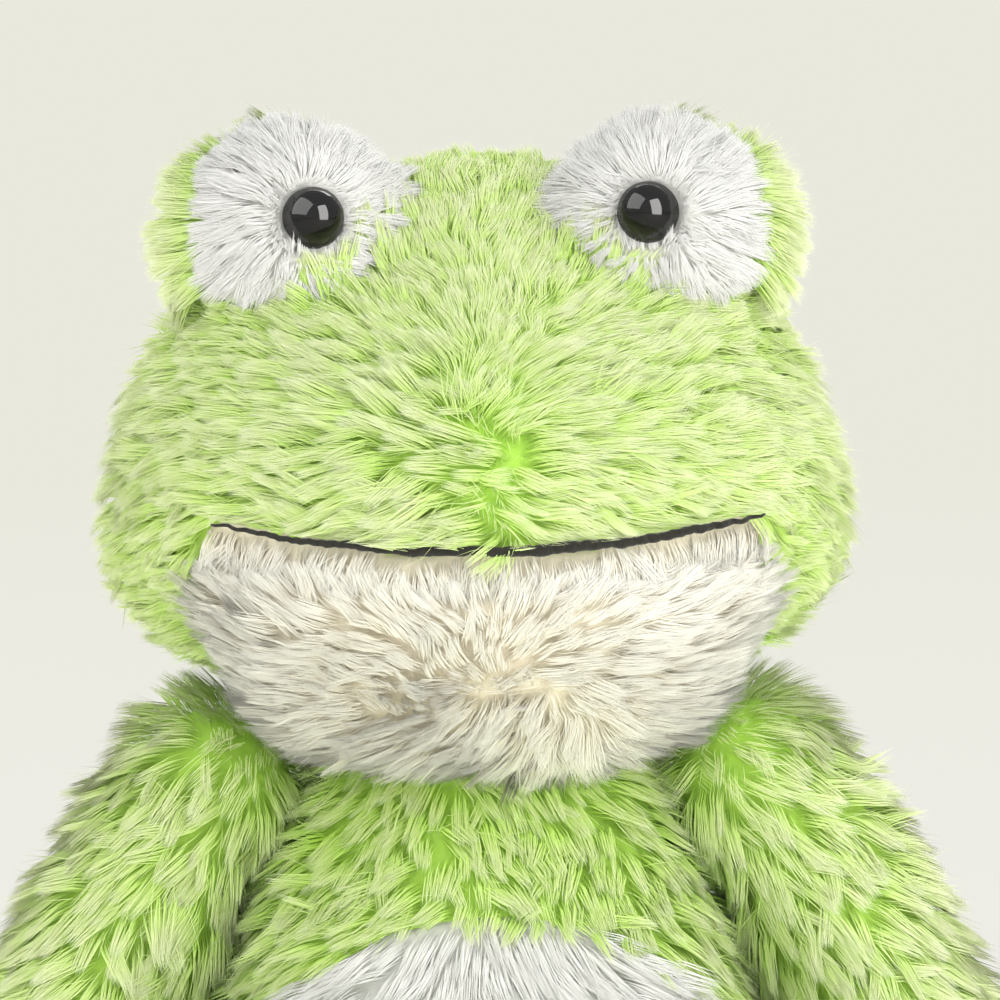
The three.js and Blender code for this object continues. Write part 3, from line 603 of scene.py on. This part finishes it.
head_nodes = [
    "crown_fur", "chin_panel", "left_eye_mound", "right_eye_mound", "left_eye_patch",
    "right_eye_patch",
]
head_fillings = ["head_stuffing", "left_mound_stuffing", "right_mound_stuffing"]
head_form = closed_form("head_form", head_nodes + head_fillings, 5)
head_owners = panels_of(head_form, head_nodes)
face_centres = np.array([face.calc_center_median() for face in head_form.faces])
body_of_head = nearest_to(["trunk_fur", "belly_panel", "left_arm_fur", "right_arm_fur"])

mouth_low, mouth_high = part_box("mouth_cord")
mouth_line = (mouth_low.z + mouth_high.z) / 2
mouth_half = 0.066
cord_radius = 0.0013
band_half = 0.069
band_height = 0.014
cheek_line = -0.052
ear_line = -0.012
mound_centres = {sign: np.array([0.046 * sign, -0.027, 0.269]) for sign in (1, -1)}
eye_axes = {sign: unit(np.array([[-0.007 * sign, -0.0283, 0.007]]))[0] for sign in (1, -1)}
eye_clearance = 0.0082
wisp_every = 23
tuft_middle = -0.009
tuft_half = 0.013
held_half = 0.067
cord_gap = 0.0008
mound_front = -0.030
patch_middle = 0.0425
patch_height = 0.2755
patch_side = 0.0655


def mouth_height(across):
    """The height of the mouth line, which rises from its middle to the corners of the mouth."""
    whole_rise = mouth_high.z - mouth_low.z - 2 * cord_radius
    return mouth_low.z + cord_radius + whole_rise * np.minimum((across / mouth_half) ** 2, 1)


below = mouth_height(face_centres[:, 0]) - face_centres[:, 2]
in_band = (below > 0) & (below < band_height) & (np.abs(face_centres[:, 0]) < band_half)
for index in np.flatnonzero(in_band & (face_centres[:, 1] < cheek_line)):
    head_owners[index] = "chin_panel"


def patch_edge(points):
    """How far each point lies above the lower edge of the eye's white patch, which climbs from
    the patch's middle towards the forehead."""
    inward = patch_middle - np.abs(points[:, 0])
    edge = np.interp(
        inward, (-0.013, -0.003, 0.002, 0.007, 0.0116, 0.0147, 0.0226),
        (-0.0180, -0.0170, -0.0165, -0.0155, -0.0125, -0.0080, -0.001),
    )
    return points[:, 2] - patch_height - edge


below_patch = patch_edge(face_centres) < 0
for index in np.flatnonzero(below_patch & (face_centres[:, 1] < mound_front)):
    if "_eye_" in head_owners[index]:
        head_owners[index] = "crown_fur"
for index in np.flatnonzero(np.abs(face_centres[:, 0]) > patch_side):
    head_owners[index] = head_owners[index].replace("patch", "mound")


def off_axis(points, centre, axis):
    """How far each point lies along an axis from its start, and its way out from the axis."""
    spokes = points - centre
    along = (spokes * axis).sum(1)
    return along, spokes - along[:, None] * axis


def crown_comb(points, normals):
    """Out from the seam down the middle of the muzzle, up over the top and down the back."""
    across, rear, up = points.T
    height = up - mouth_line
    off_seam = across + 0.014 * (mottle(points, 0.012, 4) - 0.5)
    off_seam += 0.012 * (mottle(points, 0.005, 9) - 0.5) * (height < 0.06)
    soft = np.interp(height, (0.045, 0.075), (0.0045, 0.02))
    side = off_seam / (np.abs(off_seam) + soft)
    angle = np.interp(height, (0, 0.016, 0.032, 0.051, 0.069, 0.090), (-4, -2, 10, 34, 55, 72))
    angle = angle / (1 + np.abs(across) / 0.055)
    angle -= 26 * np.clip((np.abs(across) - 0.045) / 0.04, 0, 1)
    back_lean = (rear - mouth_low.y) / 0.09
    flow = np.stack([side * np.cos(np.radians(angle)), back_lean, np.sin(np.radians(angle))], 1)
    back = np.clip(rear / 0.04, 0, 1)[:, None]
    down = np.stack([across * 5, np.full(len(points), 0.3), np.full(len(points), -1.0)], 1)
    return flow * (1 - back) + down * back


def crown_shape(points, normals):
    """More upright beside the middle seam, shorter above the mouth, round the eyes and on the
    very top, and less gathered towards the lit side and the forehead."""
    across, rear, up = points.T
    aside = np.abs(across)
    front = np.clip(-normals[:, 1] * 2, 0, 1)
    seam = np.clip(1 - aside / 0.010, 0, 1) * front
    seam *= np.clip((0.075 - up + mouth_line) / 0.03, 0, 1)
    lip = np.clip(1 - (up - mouth_line) / 0.02, 0, 1) * front
    tuft = lip * np.clip(1.6 - np.abs(across + 0.006) / 0.014, 0, 1)
    top = np.clip((normals[:, 2] - 0.5) * 3, 0, 1)
    smooth = np.clip(across / 0.05, 0, 1) + np.clip((up - 0.245) / 0.03, 0, 1)
    smooth = np.clip(smooth, 0, 1)
    mirrored = np.stack([aside, rear, up], 1)
    from_mound = np.linalg.norm(mirrored - mound_centres[1], axis=1)
    brow = np.clip(1 - (from_mound - 0.032) / 0.014, 0, 1)
    brow *= np.clip((aside - 0.038) / 0.010, 0, 1)
    under = np.clip(1 + patch_edge(points) / 0.012, 0, 1) * front
    under *= np.clip((0.028 - np.abs(aside - 0.044)) / 0.006, 0, 1)
    reach = 1 - 0.15 * seam - 0.3 * lip + 0.3 * tuft - 0.5 * top - 0.35 * brow - 0.35 * under
    reach = np.maximum(reach, 0.35)
    rise = 26 * seam - 8 * lip - 8 * top - 10 * smooth - 8 * brow
    return reach, rise, (1 - 0.45 * smooth) * (1 - 0.5 * top)


def over_mouth(points):
    """Keeps the muzzle's pile off the cord, but for a few tufts in the middle."""
    across, rear, up = points.T
    held = (rear < -0.04) & (np.abs(across - tuft_middle) > tuft_half)
    held &= np.abs(across) < held_half
    above = mouth_height(across) + cord_gap
    points[:, 2] = np.where(held, np.maximum(up, above), up)


def off_face(points):
    """Keeps the muzzle's pile off the cord and, but for a few wisps, off the eyes."""
    over_mouth(points)
    for sign in (1, -1):
        along, aside = off_axis(points, mound_centres[sign], eye_axes[sign])
        out = np.linalg.norm(aside, axis=1)
        near = (along > 0) & (out < eye_clearance) & (np.arange(len(points)) % wisp_every > 0)
        pushed = points + aside * (eye_clearance / np.maximum(out, 1e-6) - 1)[:, None]
        points[:] = np.where(near[:, None], pushed, points)


def under_mouth(points):
    """Keeps the jaw's pile below the cord."""
    across, _, up = points.T
    held = np.abs(across) < held_half
    points[:, 2] = np.where(held, np.minimum(up, mouth_height(across)), up)


def green_tone(points, normals):
    """Paler on top and on the lit side, which is painted light, and paler on the forehead and on
    the arms.
    """
    top = np.clip(normals[:, 2], -1, 1)
    across, _, up = points.T
    lit_side = np.clip(across / 0.06, -1, 1)
    brow = np.clip((up - 0.19) / 0.06, -0.6, 1)
    arms = np.clip((np.abs(across) - 0.055) / 0.02, 0, 1) * (up < 0.16)
    # Painted light: the pile is paler where it faces up and towards the lit side.
    tone = 0.30 + 0.34 * mottle(points, 0.045, 3) + 0.1 * top
    return tone + 0.1 * lit_side + 0.2 * brow + 0.4 * arms


in_front = face_centres[:, 1] < ear_line
for side, sign, seed in (("left", 1, 1), ("right", -1, 2)):
    on_side = (face_centres[:, 0] >= 0) == (sign > 0)
    chosen = faces_of(head_owners, "crown_fur", in_front & on_side)
    muzzle = furred(
        f"{side}_muzzle_fur", fabric_panel(head_form, chosen), crown_comb, green_pile, "head",
        34500, seed, length=0.0175, tone=green_tone, shape=crown_shape, clear_of=body_of_head,
        keep=off_face,
    )
chosen = faces_of(head_owners, "crown_fur", ~in_front)
head_back = furred(
    "head_back_fur", fabric_panel(head_form, chosen), crown_comb, green_pile, "head", 21000, 3,
    length=0.0175, width=0.00055, tone=green_tone, shape=crown_shape, clear_of=body_of_head,
)
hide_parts("crown_fur", "head_stuffing")


# The jaw: one panel of cream fur under the mouth, from cheek to cheek. Its pile hangs straight in a
# smooth band under the mouth line, and below that it is brushed away from the middle of the chin,
# so the tan roots show in streaks between the pale tips.
jaw_middle = 0.1595
jaw_band = 0.0095
jaw_pile = 0.0135
band_blend = 0.001
parting_middle = -0.011

cream_pile = fur_material(
    "cream_pile",
    (
        ((0, (0.83, 0.70, 0.46, 1)), (0.4, (0.87, 0.79, 0.59, 1)),
         (0.7, (0.91, 0.885, 0.76, 1)), (1, (0.92, 0.905, 0.81, 1))),
        ((0, (0.89, 0.82, 0.65, 1)), (0.4, (0.91, 0.88, 0.77, 1)),
         (0.7, (0.92, 0.91, 0.83, 1)), (1, (0.925, 0.92, 0.865, 1))),
    ),
    (0.90, 0.84, 0.68, 1),
)


def below_mouth(points):
    """How far each point lies below the mouth line."""
    return mouth_height(points[:, 0]) - points[:, 2]


def jaw_comb(points, normals):
    """Straight down under the mouth, then up and down and out from a wavy parting."""
    across = points[:, 0]
    band = np.clip((jaw_band - below_mouth(points)) / band_blend, 0, 1)[:, None]
    parting = jaw_middle + 0.010 * (mottle(points, 0.015, 6) - 0.5)
    parting += 0.004 * np.sin(across / 0.011)
    off_parting = np.abs(across - parting_middle)
    soft = 0.003 + 0.012 * np.clip((off_parting - 0.013) / 0.02, 0, 1)
    up = np.clip((points[:, 2] - parting) / soft, -1, 1)
    over = across / np.where(across < 0, 0.055, 0.013)
    out = np.where(up < 0, (across - 0.016) / 0.012, over)
    out += mottle(points, 0.016, 21) - 0.5
    up = up + 0.9 * (mottle(points, 0.014, 22) - 0.5)
    fan = np.stack([out, np.zeros(len(points)), up], 1)
    hang = np.stack([across * 4, np.zeros(len(points)), np.full(len(points), -1.0)], 1)
    return unit(fan) * (1 - band) + hang * band


def jaw_shape(points, normals):
    """Short and flat in the band under the mouth, and upright along the parting."""
    below = below_mouth(points)
    band = np.clip((jaw_band - below) / band_blend, 0, 1)
    hanging = np.clip((jaw_band + 0.0045 - below) / jaw_pile, 0.4, 0.9)
    brushed = np.clip(0.4 + (below - jaw_band) / 0.012, 0.4, 1)
    parted = np.clip(1.3 - np.abs(points[:, 2] - jaw_middle) / 0.006, 0, 1)
    parted *= np.clip(1.5 - np.abs(points[:, 0] - parting_middle) / 0.014, 0, 1)
    reach = hanging * band + brushed * (1 - band) - 0.1 * parted
    return reach, 16 * parted - 16 * band, 1 - 0.8 * band


def jaw_tone(points, normals):
    """Paler in the band under the mouth and towards the lit side, both painted light."""
    band = np.clip((jaw_band + 0.004 - below_mouth(points)) / 0.008, 0, 1)
    right = np.clip((points[:, 0] + 0.01) / 0.06, 0, 1)
    # Painted light: the band under the mouth and the lit side are paler.
    return 0.38 + 0.3 * mottle(points, 0.03, 8) + 0.2 * right + 0.15 * band


chosen = faces_of(head_owners, "chin_panel")
jaw = furred(
    "jaw_fur", fabric_panel(head_form, chosen), jaw_comb, cream_pile, "head", 34000, 4,
    length=jaw_pile, lift=(58, 16), tone=jaw_tone, shape=jaw_shape,
    depth_room=0.0085, clear_of=body_of_head, keep=under_mouth,
)
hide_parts("chin_panel")


# The eye mounds: each a small stuffed ball of green fur on the head, with a white fur patch sewn
# over its front. The pile of both is brushed away from the plastic eye.
white_pile = fur_material(
    "white_pile",
    (
        ((0, (0.86, 0.86, 0.82, 1)), (0.45, (0.84, 0.84, 0.81, 1)),
         (0.75, (0.81, 0.81, 0.785, 1)), (1, (0.79, 0.79, 0.775, 1))),
        ((0, (0.87, 0.87, 0.84, 1)), (0.45, (0.85, 0.85, 0.83, 1)),
         (0.75, (0.83, 0.83, 0.815, 1)), (1, (0.81, 0.81, 0.795, 1))),
    ),
    (0.86, 0.86, 0.82, 1),
)
eye_bed = 0.0077
eye_front = 0.027
for side, sign, seed in (("left", 1, 5), ("right", -1, 7)):
    mound_centre = mound_centres[sign]
    eye_axis = eye_axes[sign]
    eye_place = mound_centre + eye_axis * eye_front

    def away_from_eye(points, normals, eye_place=eye_place):
        """Away from the eye, but for a wisp below it that curls up over its edge."""
        flow = points - eye_place
        wisp = (flow[:, 2] < -0.0065) & (flow[:, 2] > -0.0105) & (np.abs(flow[:, 0]) < 0.006)
        flow[:, 2] = np.where(wisp, 0.02, flow[:, 2] - 0.004)
        return flow

    def under_eye(points, mound_centre=mound_centre, eye_axis=eye_axis):
        """Whether each point lies under the plastic eye, where no pile grows."""
        along, aside = off_axis(points, mound_centre, eye_axis)
        return (along > 0) & (np.linalg.norm(aside, axis=1) < eye_bed)

    def round_eye(points, normals, mound_centre=mound_centre, eye_axis=eye_axis):
        """Short round the plastic eye, and again towards the patch's edge."""
        spokes = points - mound_centre
        along, aside = off_axis(points, mound_centre, eye_axis)
        out = np.linalg.norm(aside, axis=1)
        near = np.where(along > 0, np.clip((out - 0.009) / 0.008, 0, 1), 1)
        rim = np.clip((out - 0.018) / 0.010, 0, 1)
        outer = np.clip((spokes[:, 0] * np.sign(mound_centre[0]) - 0.008) / 0.012, 0, 1)
        top = np.clip(spokes[:, 2] / 0.02, 0, 1)
        cut = np.clip(0.4 + patch_edge(points) / 0.012, 0.4, 1)
        reach = (0.45 + 0.55 * near) * (1 - 0.2 * rim) * (1 - 0.4 * outer) * (1 - 0.2 * top) * cut
        return reach, 26 * (1 - near), np.full(len(points), 0.35)

    chosen = faces_of(head_owners, f"{side}_eye_patch")
    patch = furred(
        f"{side}_eye_patch_fur", fabric_panel(head_form, chosen), away_from_eye, white_pile,
        "head", 17000, seed, length=0.0145, width=0.00031, lift=(50, 8), shape=round_eye,
        depth_room=0.0068, bare=under_eye, clear_of=body_of_head,
    )
    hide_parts(f"{side}_eye_patch")
    chosen = faces_of(head_owners, f"{side}_eye_mound")
    mound = furred(
        f"{side}_eye_mound_fur", fabric_panel(head_form, chosen), away_from_eye, green_pile,
        "head", 9000, seed + 1, length=0.0165, width=0.00034, lift=(64, 20), tone=green_tone,
        depth_room=0.0095, clear_of=body_of_head,
    )
    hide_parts(f"{side}_eye_mound", f"{side}_mound_stuffing")


# The safety eyes: black plastic domes moulded with a ringed stem, which goes through the patch and
# is held by a nylon washer pressed on behind it. The dome and its rim are turned in one profile.
def two_tone(name, texture_type, scale, first, second):
    """A material whose colour drifts between two tones, with its shader and its texture."""
    finish = bpy.data.materials.new(name)
    finish.use_nodes = True
    tree = finish.node_tree
    shader = tree.nodes["Principled BSDF"]
    places = tree.nodes.new("ShaderNodeTexCoord")
    texture = tree.nodes.new(texture_type)
    texture.inputs["Scale"].default_value = scale
    tree.links.new(places.outputs["Object"], texture.inputs["Vector"])
    tones = colour_mix(tree, texture.outputs["Fac"], first, second)
    tree.links.new(tones, shader.inputs["Base Color"])
    return finish, shader, texture


black_plastic, gloss, _ = two_tone(
    "black_plastic", "ShaderNodeTexNoise", 300, (0.004, 0.004, 0.0045, 1), (0.010, 0.009, 0.009, 1)
)
gloss.inputs["Roughness"].default_value = 0.05
gloss.inputs["Specular IOR Level"].default_value = 0.9
gloss.inputs["Coat Weight"].default_value = 1
gloss.inputs["Coat IOR"].default_value = 2.2
gloss.inputs["Coat Roughness"].default_value = 0.03

eye_radius = 0.0075
eye_height = 0.009
stem_radius = 0.002
ring_radius = 0.0024
ring_count = 3
ringed_length = 0.0055
stem_length = 0.011
eye_rim = 0.0004
eye_seat = 0.024
dome_steps = 16
for side, sign in (("left", 1), ("right", -1)):
    mound_centre = Vector(mound_centres[sign])
    eye_axis = Vector(eye_axes[sign])
    profile = [(0, -stem_length), (stem_radius, -stem_length)]
    for ring in range(ring_count):
        foot = -stem_length + ringed_length * (ring + 0.5) / ring_count
        profile.append((stem_radius, foot))
        profile.append((ring_radius, foot + eye_rim))
        profile.append((stem_radius, foot + 2 * eye_rim))
    profile += [(stem_radius, 0), (eye_radius - eye_rim, 0), (eye_radius, eye_rim)]
    for step in range(1, dome_steps + 1):
        angle = math.pi / 2 * step / dome_steps
        out = eye_radius * math.cos(angle) if step < dome_steps else 0
        profile.append((out, eye_rim + (eye_height - eye_rim) * math.sin(angle)))
    turning = bmesh.new()
    points = [turning.verts.new((out, 0, up)) for out, up in profile]
    edges = [turning.edges.new(pair) for pair in zip(points, points[1:])]
    bmesh.ops.spin(
        turning, geom=points + edges, cent=(0, 0, 0), axis=(0, 0, 1), angle=2 * math.pi,
        steps=48, use_merge=True,
    )
    bmesh.ops.remove_doubles(turning, verts=turning.verts, dist=1e-6)
    bmesh.ops.recalc_face_normals(turning, faces=turning.faces)
    seat = Matrix.Translation(mound_centre + eye_axis * eye_seat)
    seat = seat @ eye_axis.to_track_quat("Z", "Y").to_matrix().to_4x4()
    bmesh.ops.transform(turning, matrix=seat, verts=turning.verts)
    for face in turning.faces:
        face.smooth = True
    mesh = bpy.data.meshes.new(f"{side}_glossy_eye")
    turning.to_mesh(mesh)
    turning.free()
    mesh.materials.append(black_plastic)
    eye = placed(f"{side}_glossy_eye", mesh)
    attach(eye, "head")
    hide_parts(f"{side}_eye")


# The locking washers: white nylon discs, pressed on the eyes' stems until the rings grip them. They
# are out of sight inside the mounds.
nylon, moulded, _ = two_tone(
    "washer_nylon", "ShaderNodeTexNoise", 220, (0.72, 0.71, 0.67, 1), (0.80, 0.79, 0.76, 1)
)
moulded.inputs["Roughness"].default_value = 0.5
for side in ("left", "right"):
    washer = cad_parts[f"{side}_eye_washer"]
    washer.data.materials.clear()
    washer.data.materials.append(nylon)


# The mouth line: a soft black felted cord laid in the seam between muzzle and jaw and stitched
# down, thickest past the middle and thinning to nothing at the corners of the mouth.
felt, wool, fuzz = two_tone(
    "black_felt", "ShaderNodeTexNoise", 900, (0.010, 0.010, 0.008, 1), (0.045, 0.042, 0.036, 1)
)
wool.inputs["Roughness"].default_value = 0.95
wool.inputs["Specular IOR Level"].default_value = 0.15
wool.inputs["Sheen Weight"].default_value = 0.25
wool.inputs["Sheen Roughness"].default_value = 0.5
fuzz.inputs["Detail"].default_value = 6
bumps = felt.node_tree.nodes.new("ShaderNodeBump")
bumps.inputs["Strength"].default_value = 0.8
bumps.inputs["Distance"].default_value = 0.0004
felt.node_tree.links.new(fuzz.outputs["Fac"], bumps.inputs["Height"])
felt.node_tree.links.new(bumps.outputs["Normal"], wool.inputs["Normal"])

cord_points = np.array([vert.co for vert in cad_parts["mouth_cord"].data.vertices])
cord_line = []
cord_steps = 132
cord_lead = 0.0022
for step in range(cord_steps + 1):
    across = -mouth_half + 2 * mouth_half * step / cord_steps
    near = cord_points[np.abs(cord_points[:, 0] - across) < 0.004]
    sag = 0.0002 * math.sin(31 * step / cord_steps) + 0.0001 * math.sin(83 * step / cord_steps)
    height = (near[:, 2].max() + near[:, 2].min()) / 2 + sag
    cord_line.append((across, near[:, 1].mean() - cord_lead, height))
cord_curve = bpy.data.curves.new("mouth_cord_line", "CURVE")
cord_curve.dimensions = "3D"
cord_curve.bevel_depth = 0.0012
cord_curve.bevel_resolution = 4
cord_curve.use_fill_caps = True
spline = cord_curve.splines.new("POLY")
spline.points.add(len(cord_line) - 1)
for step, place in enumerate(cord_line):
    share = step / cord_steps
    body = math.sin(math.pi * share ** 1.25) ** 0.6
    ragged = 0.08 * math.sin(23 * share) + 0.07 * math.sin(131 * share)
    ragged += 0.06 * math.sin(217 * share)
    spline.points[step].co = (*place, 1)
    spline.points[step].radius = 0.25 + 0.85 * body + ragged * body
cord_object = placed("mouth_cord_line", cord_curve)
graph = bpy.context.evaluated_depsgraph_get()
mesh = bpy.data.meshes.new_from_object(cord_object.evaluated_get(graph))
bpy.data.objects.remove(cord_object)
capped = bmesh.new()
capped.from_mesh(mesh)
bmesh.ops.remove_doubles(capped, verts=capped.verts, dist=1e-6)
bmesh.ops.recalc_face_normals(capped, faces=capped.faces)
capped.to_mesh(mesh)
capped.free()
mesh.materials.clear()
mesh.materials.append(felt)
mesh.polygons.foreach_set("use_smooth", np.ones(len(mesh.polygons), bool))
mouth_piping = placed("mouth_piping", mesh)
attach(mouth_piping, "head")
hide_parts("mouth_cord")


# The trunk: a pear-shaped bag of green fur, chest and back, with a white oval panel let into its
# belly. The chest's pile is brushed down and away from the breastbone in short blunt locks.
trunk_nodes = ["trunk_fur", "belly_panel"]
trunk_form = closed_form("trunk_form", trunk_nodes + ["trunk_stuffing"], 5)
trunk_owners = panels_of(trunk_form, trunk_nodes)
trunk_centres = np.array([face.calc_center_median() for face in trunk_form.faces])
trunk_neighbours = nearest_to(["crown_fur", "chin_panel", "left_leg_fur", "right_leg_fur"])
side_seam = 0.004


def trunk_comb(points, normals):
    """Down, and in front also out from the breastbone."""
    spread = np.where(points[:, 0] < 0, 22.0, 14.0) * points[:, 0]
    spread = np.clip(spread, -1.25, 1.25)
    front = np.clip(-normals[:, 1] * 2, 0, 1)
    fan = np.stack([np.sin(spread), np.zeros(len(points)), -np.cos(spread)], 1)
    down = np.stack([normals[:, 0] * 0.1, np.full(len(points), 0.1), -np.ones(len(points))], 1)
    return fan * front[:, None] + down * (1 - front[:, None])


def belly_comb(points, normals):
    """Out to both sides from the middle."""
    return np.stack([points[:, 0] * 1.3, np.zeros(len(points)), np.full(len(points), -0.03)], 1)


chosen = faces_of(trunk_owners, "trunk_fur", trunk_centres[:, 1] < side_seam)
chest = furred(
    "chest_fur", fabric_panel(trunk_form, chosen), trunk_comb, green_pile, "trunk", 27000, 9,
    length=0.0150, width=0.00034, lift=(60, 18), lock=24, gather=0.62, swirl=16,
    tone=green_tone, clear_of=trunk_neighbours,
)
chosen = faces_of(trunk_owners, "trunk_fur", trunk_centres[:, 1] >= side_seam)
trunk_back = furred(
    "trunk_back_fur", fabric_panel(trunk_form, chosen), trunk_comb, green_pile, "trunk", 12000, 10,
    length=0.0175, width=0.0007, tone=green_tone, clear_of=trunk_neighbours,
)
chosen = faces_of(trunk_owners, "belly_panel")
belly = furred(
    "belly_fur", fabric_panel(trunk_form, chosen), belly_comb, white_pile, "trunk", 16000, 11,
    length=0.0165, width=0.00034, lift=(56, 10), swirl=8, stray=0.02, clear_of=trunk_neighbours,
)
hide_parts("trunk_fur", "trunk_stuffing")
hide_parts("belly_panel")


# The pellet pouch: a bag of plain cotton filled with plastic pellets, lying on the seat inside the
# trunk, which weighs the frog down so that it sits.
cotton, cloth, _ = two_tone(
    "pouch_cotton", "ShaderNodeTexWave", 400, (0.58, 0.52, 0.41, 1), (0.72, 0.66, 0.55, 1)
)
cloth.inputs["Roughness"].default_value = 0.9
pouch_form = closed_form("pouch_form", ["pellet_pouch"], 4)
for face in pouch_form.faces:
    face.smooth = True
mesh = bpy.data.meshes.new("cotton_pouch")
pouch_form.to_mesh(mesh)
pouch_form.free()
mesh.materials.append(cotton)
pouch = placed("cotton_pouch", mesh)
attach(pouch, "trunk")
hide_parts("pellet_pouch")


# The arms: long stuffed bags of green fur, sewn on at the shoulders. Their pile streams from the
# shoulder towards the hand and out over the sides.
for side, sign, seed in (("left", 1, 12), ("right", -1, 13)):
    arm_form = closed_form(f"{side}_arm_form", [f"{side}_arm_fur", f"{side}_arm_stuffing"], 4)
    shoulder_top = np.array([0.020 * sign, 0.0, 0.185])

    def arm_comb(points, normals, shoulder_top=shoulder_top):
        """Away from the shoulder."""
        return points - shoulder_top

    def arm_shape(points, normals, shoulder_top=shoulder_top):
        """More upright at the shoulder, where the pile begins."""
        near = np.clip(1.9 - np.linalg.norm(points - shoulder_top, axis=1) / 0.04, 0, 1)
        return np.ones(len(points)), 30 * near, 1 - 0.3 * near

    arm_neighbours = nearest_to(["crown_fur", "chin_panel", f"{side}_leg_fur"])
    arm = furred(
        f"{side}_arm_pile", fabric_panel(arm_form, range(len(arm_form.faces))), arm_comb,
        green_pile, f"{side}_arm", 26000, seed, length=0.0165, width=0.00034, lift=(58, 18),
        lock=26, gather=0.62, swirl=17, tone=green_tone, shape=arm_shape,
        clear_of=arm_neighbours,
    )
    arm_form.free()
    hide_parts(f"{side}_arm_fur", f"{side}_arm_stuffing")


# The legs: stuffed bags of green fur with upturned feet, sewn on at the hips and lying on whatever
# the frog sits on. Their pile lies along the leg and fans out over the foot.
for side, sign, seed in (("left", 1, 14), ("right", -1, 15)):
    leg_form = closed_form(f"{side}_leg_form", [f"{side}_leg_fur", f"{side}_leg_stuffing"], 4)
    hip = np.array([0.0524 * sign, -0.0543, 0.0245])

    def leg_comb(points, normals, hip=hip):
        """Away from the hip."""
        return points - hip

    leg_neighbours = nearest_to(["trunk_fur", "belly_panel", f"{side}_arm_fur"])
    leg = furred(
        f"{side}_leg_pile", fabric_panel(leg_form, range(len(leg_form.faces))), leg_comb,
        green_pile, f"{side}_leg", 12000, seed, length=0.018, width=0.0007, lift=(56, 12),
        lock=13, tone=green_tone, clear_of=leg_neighbours,
    )
    leg_form.free()
    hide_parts(f"{side}_leg_fur", f"{side}_leg_stuffing")

head_form.free()
trunk_form.free()
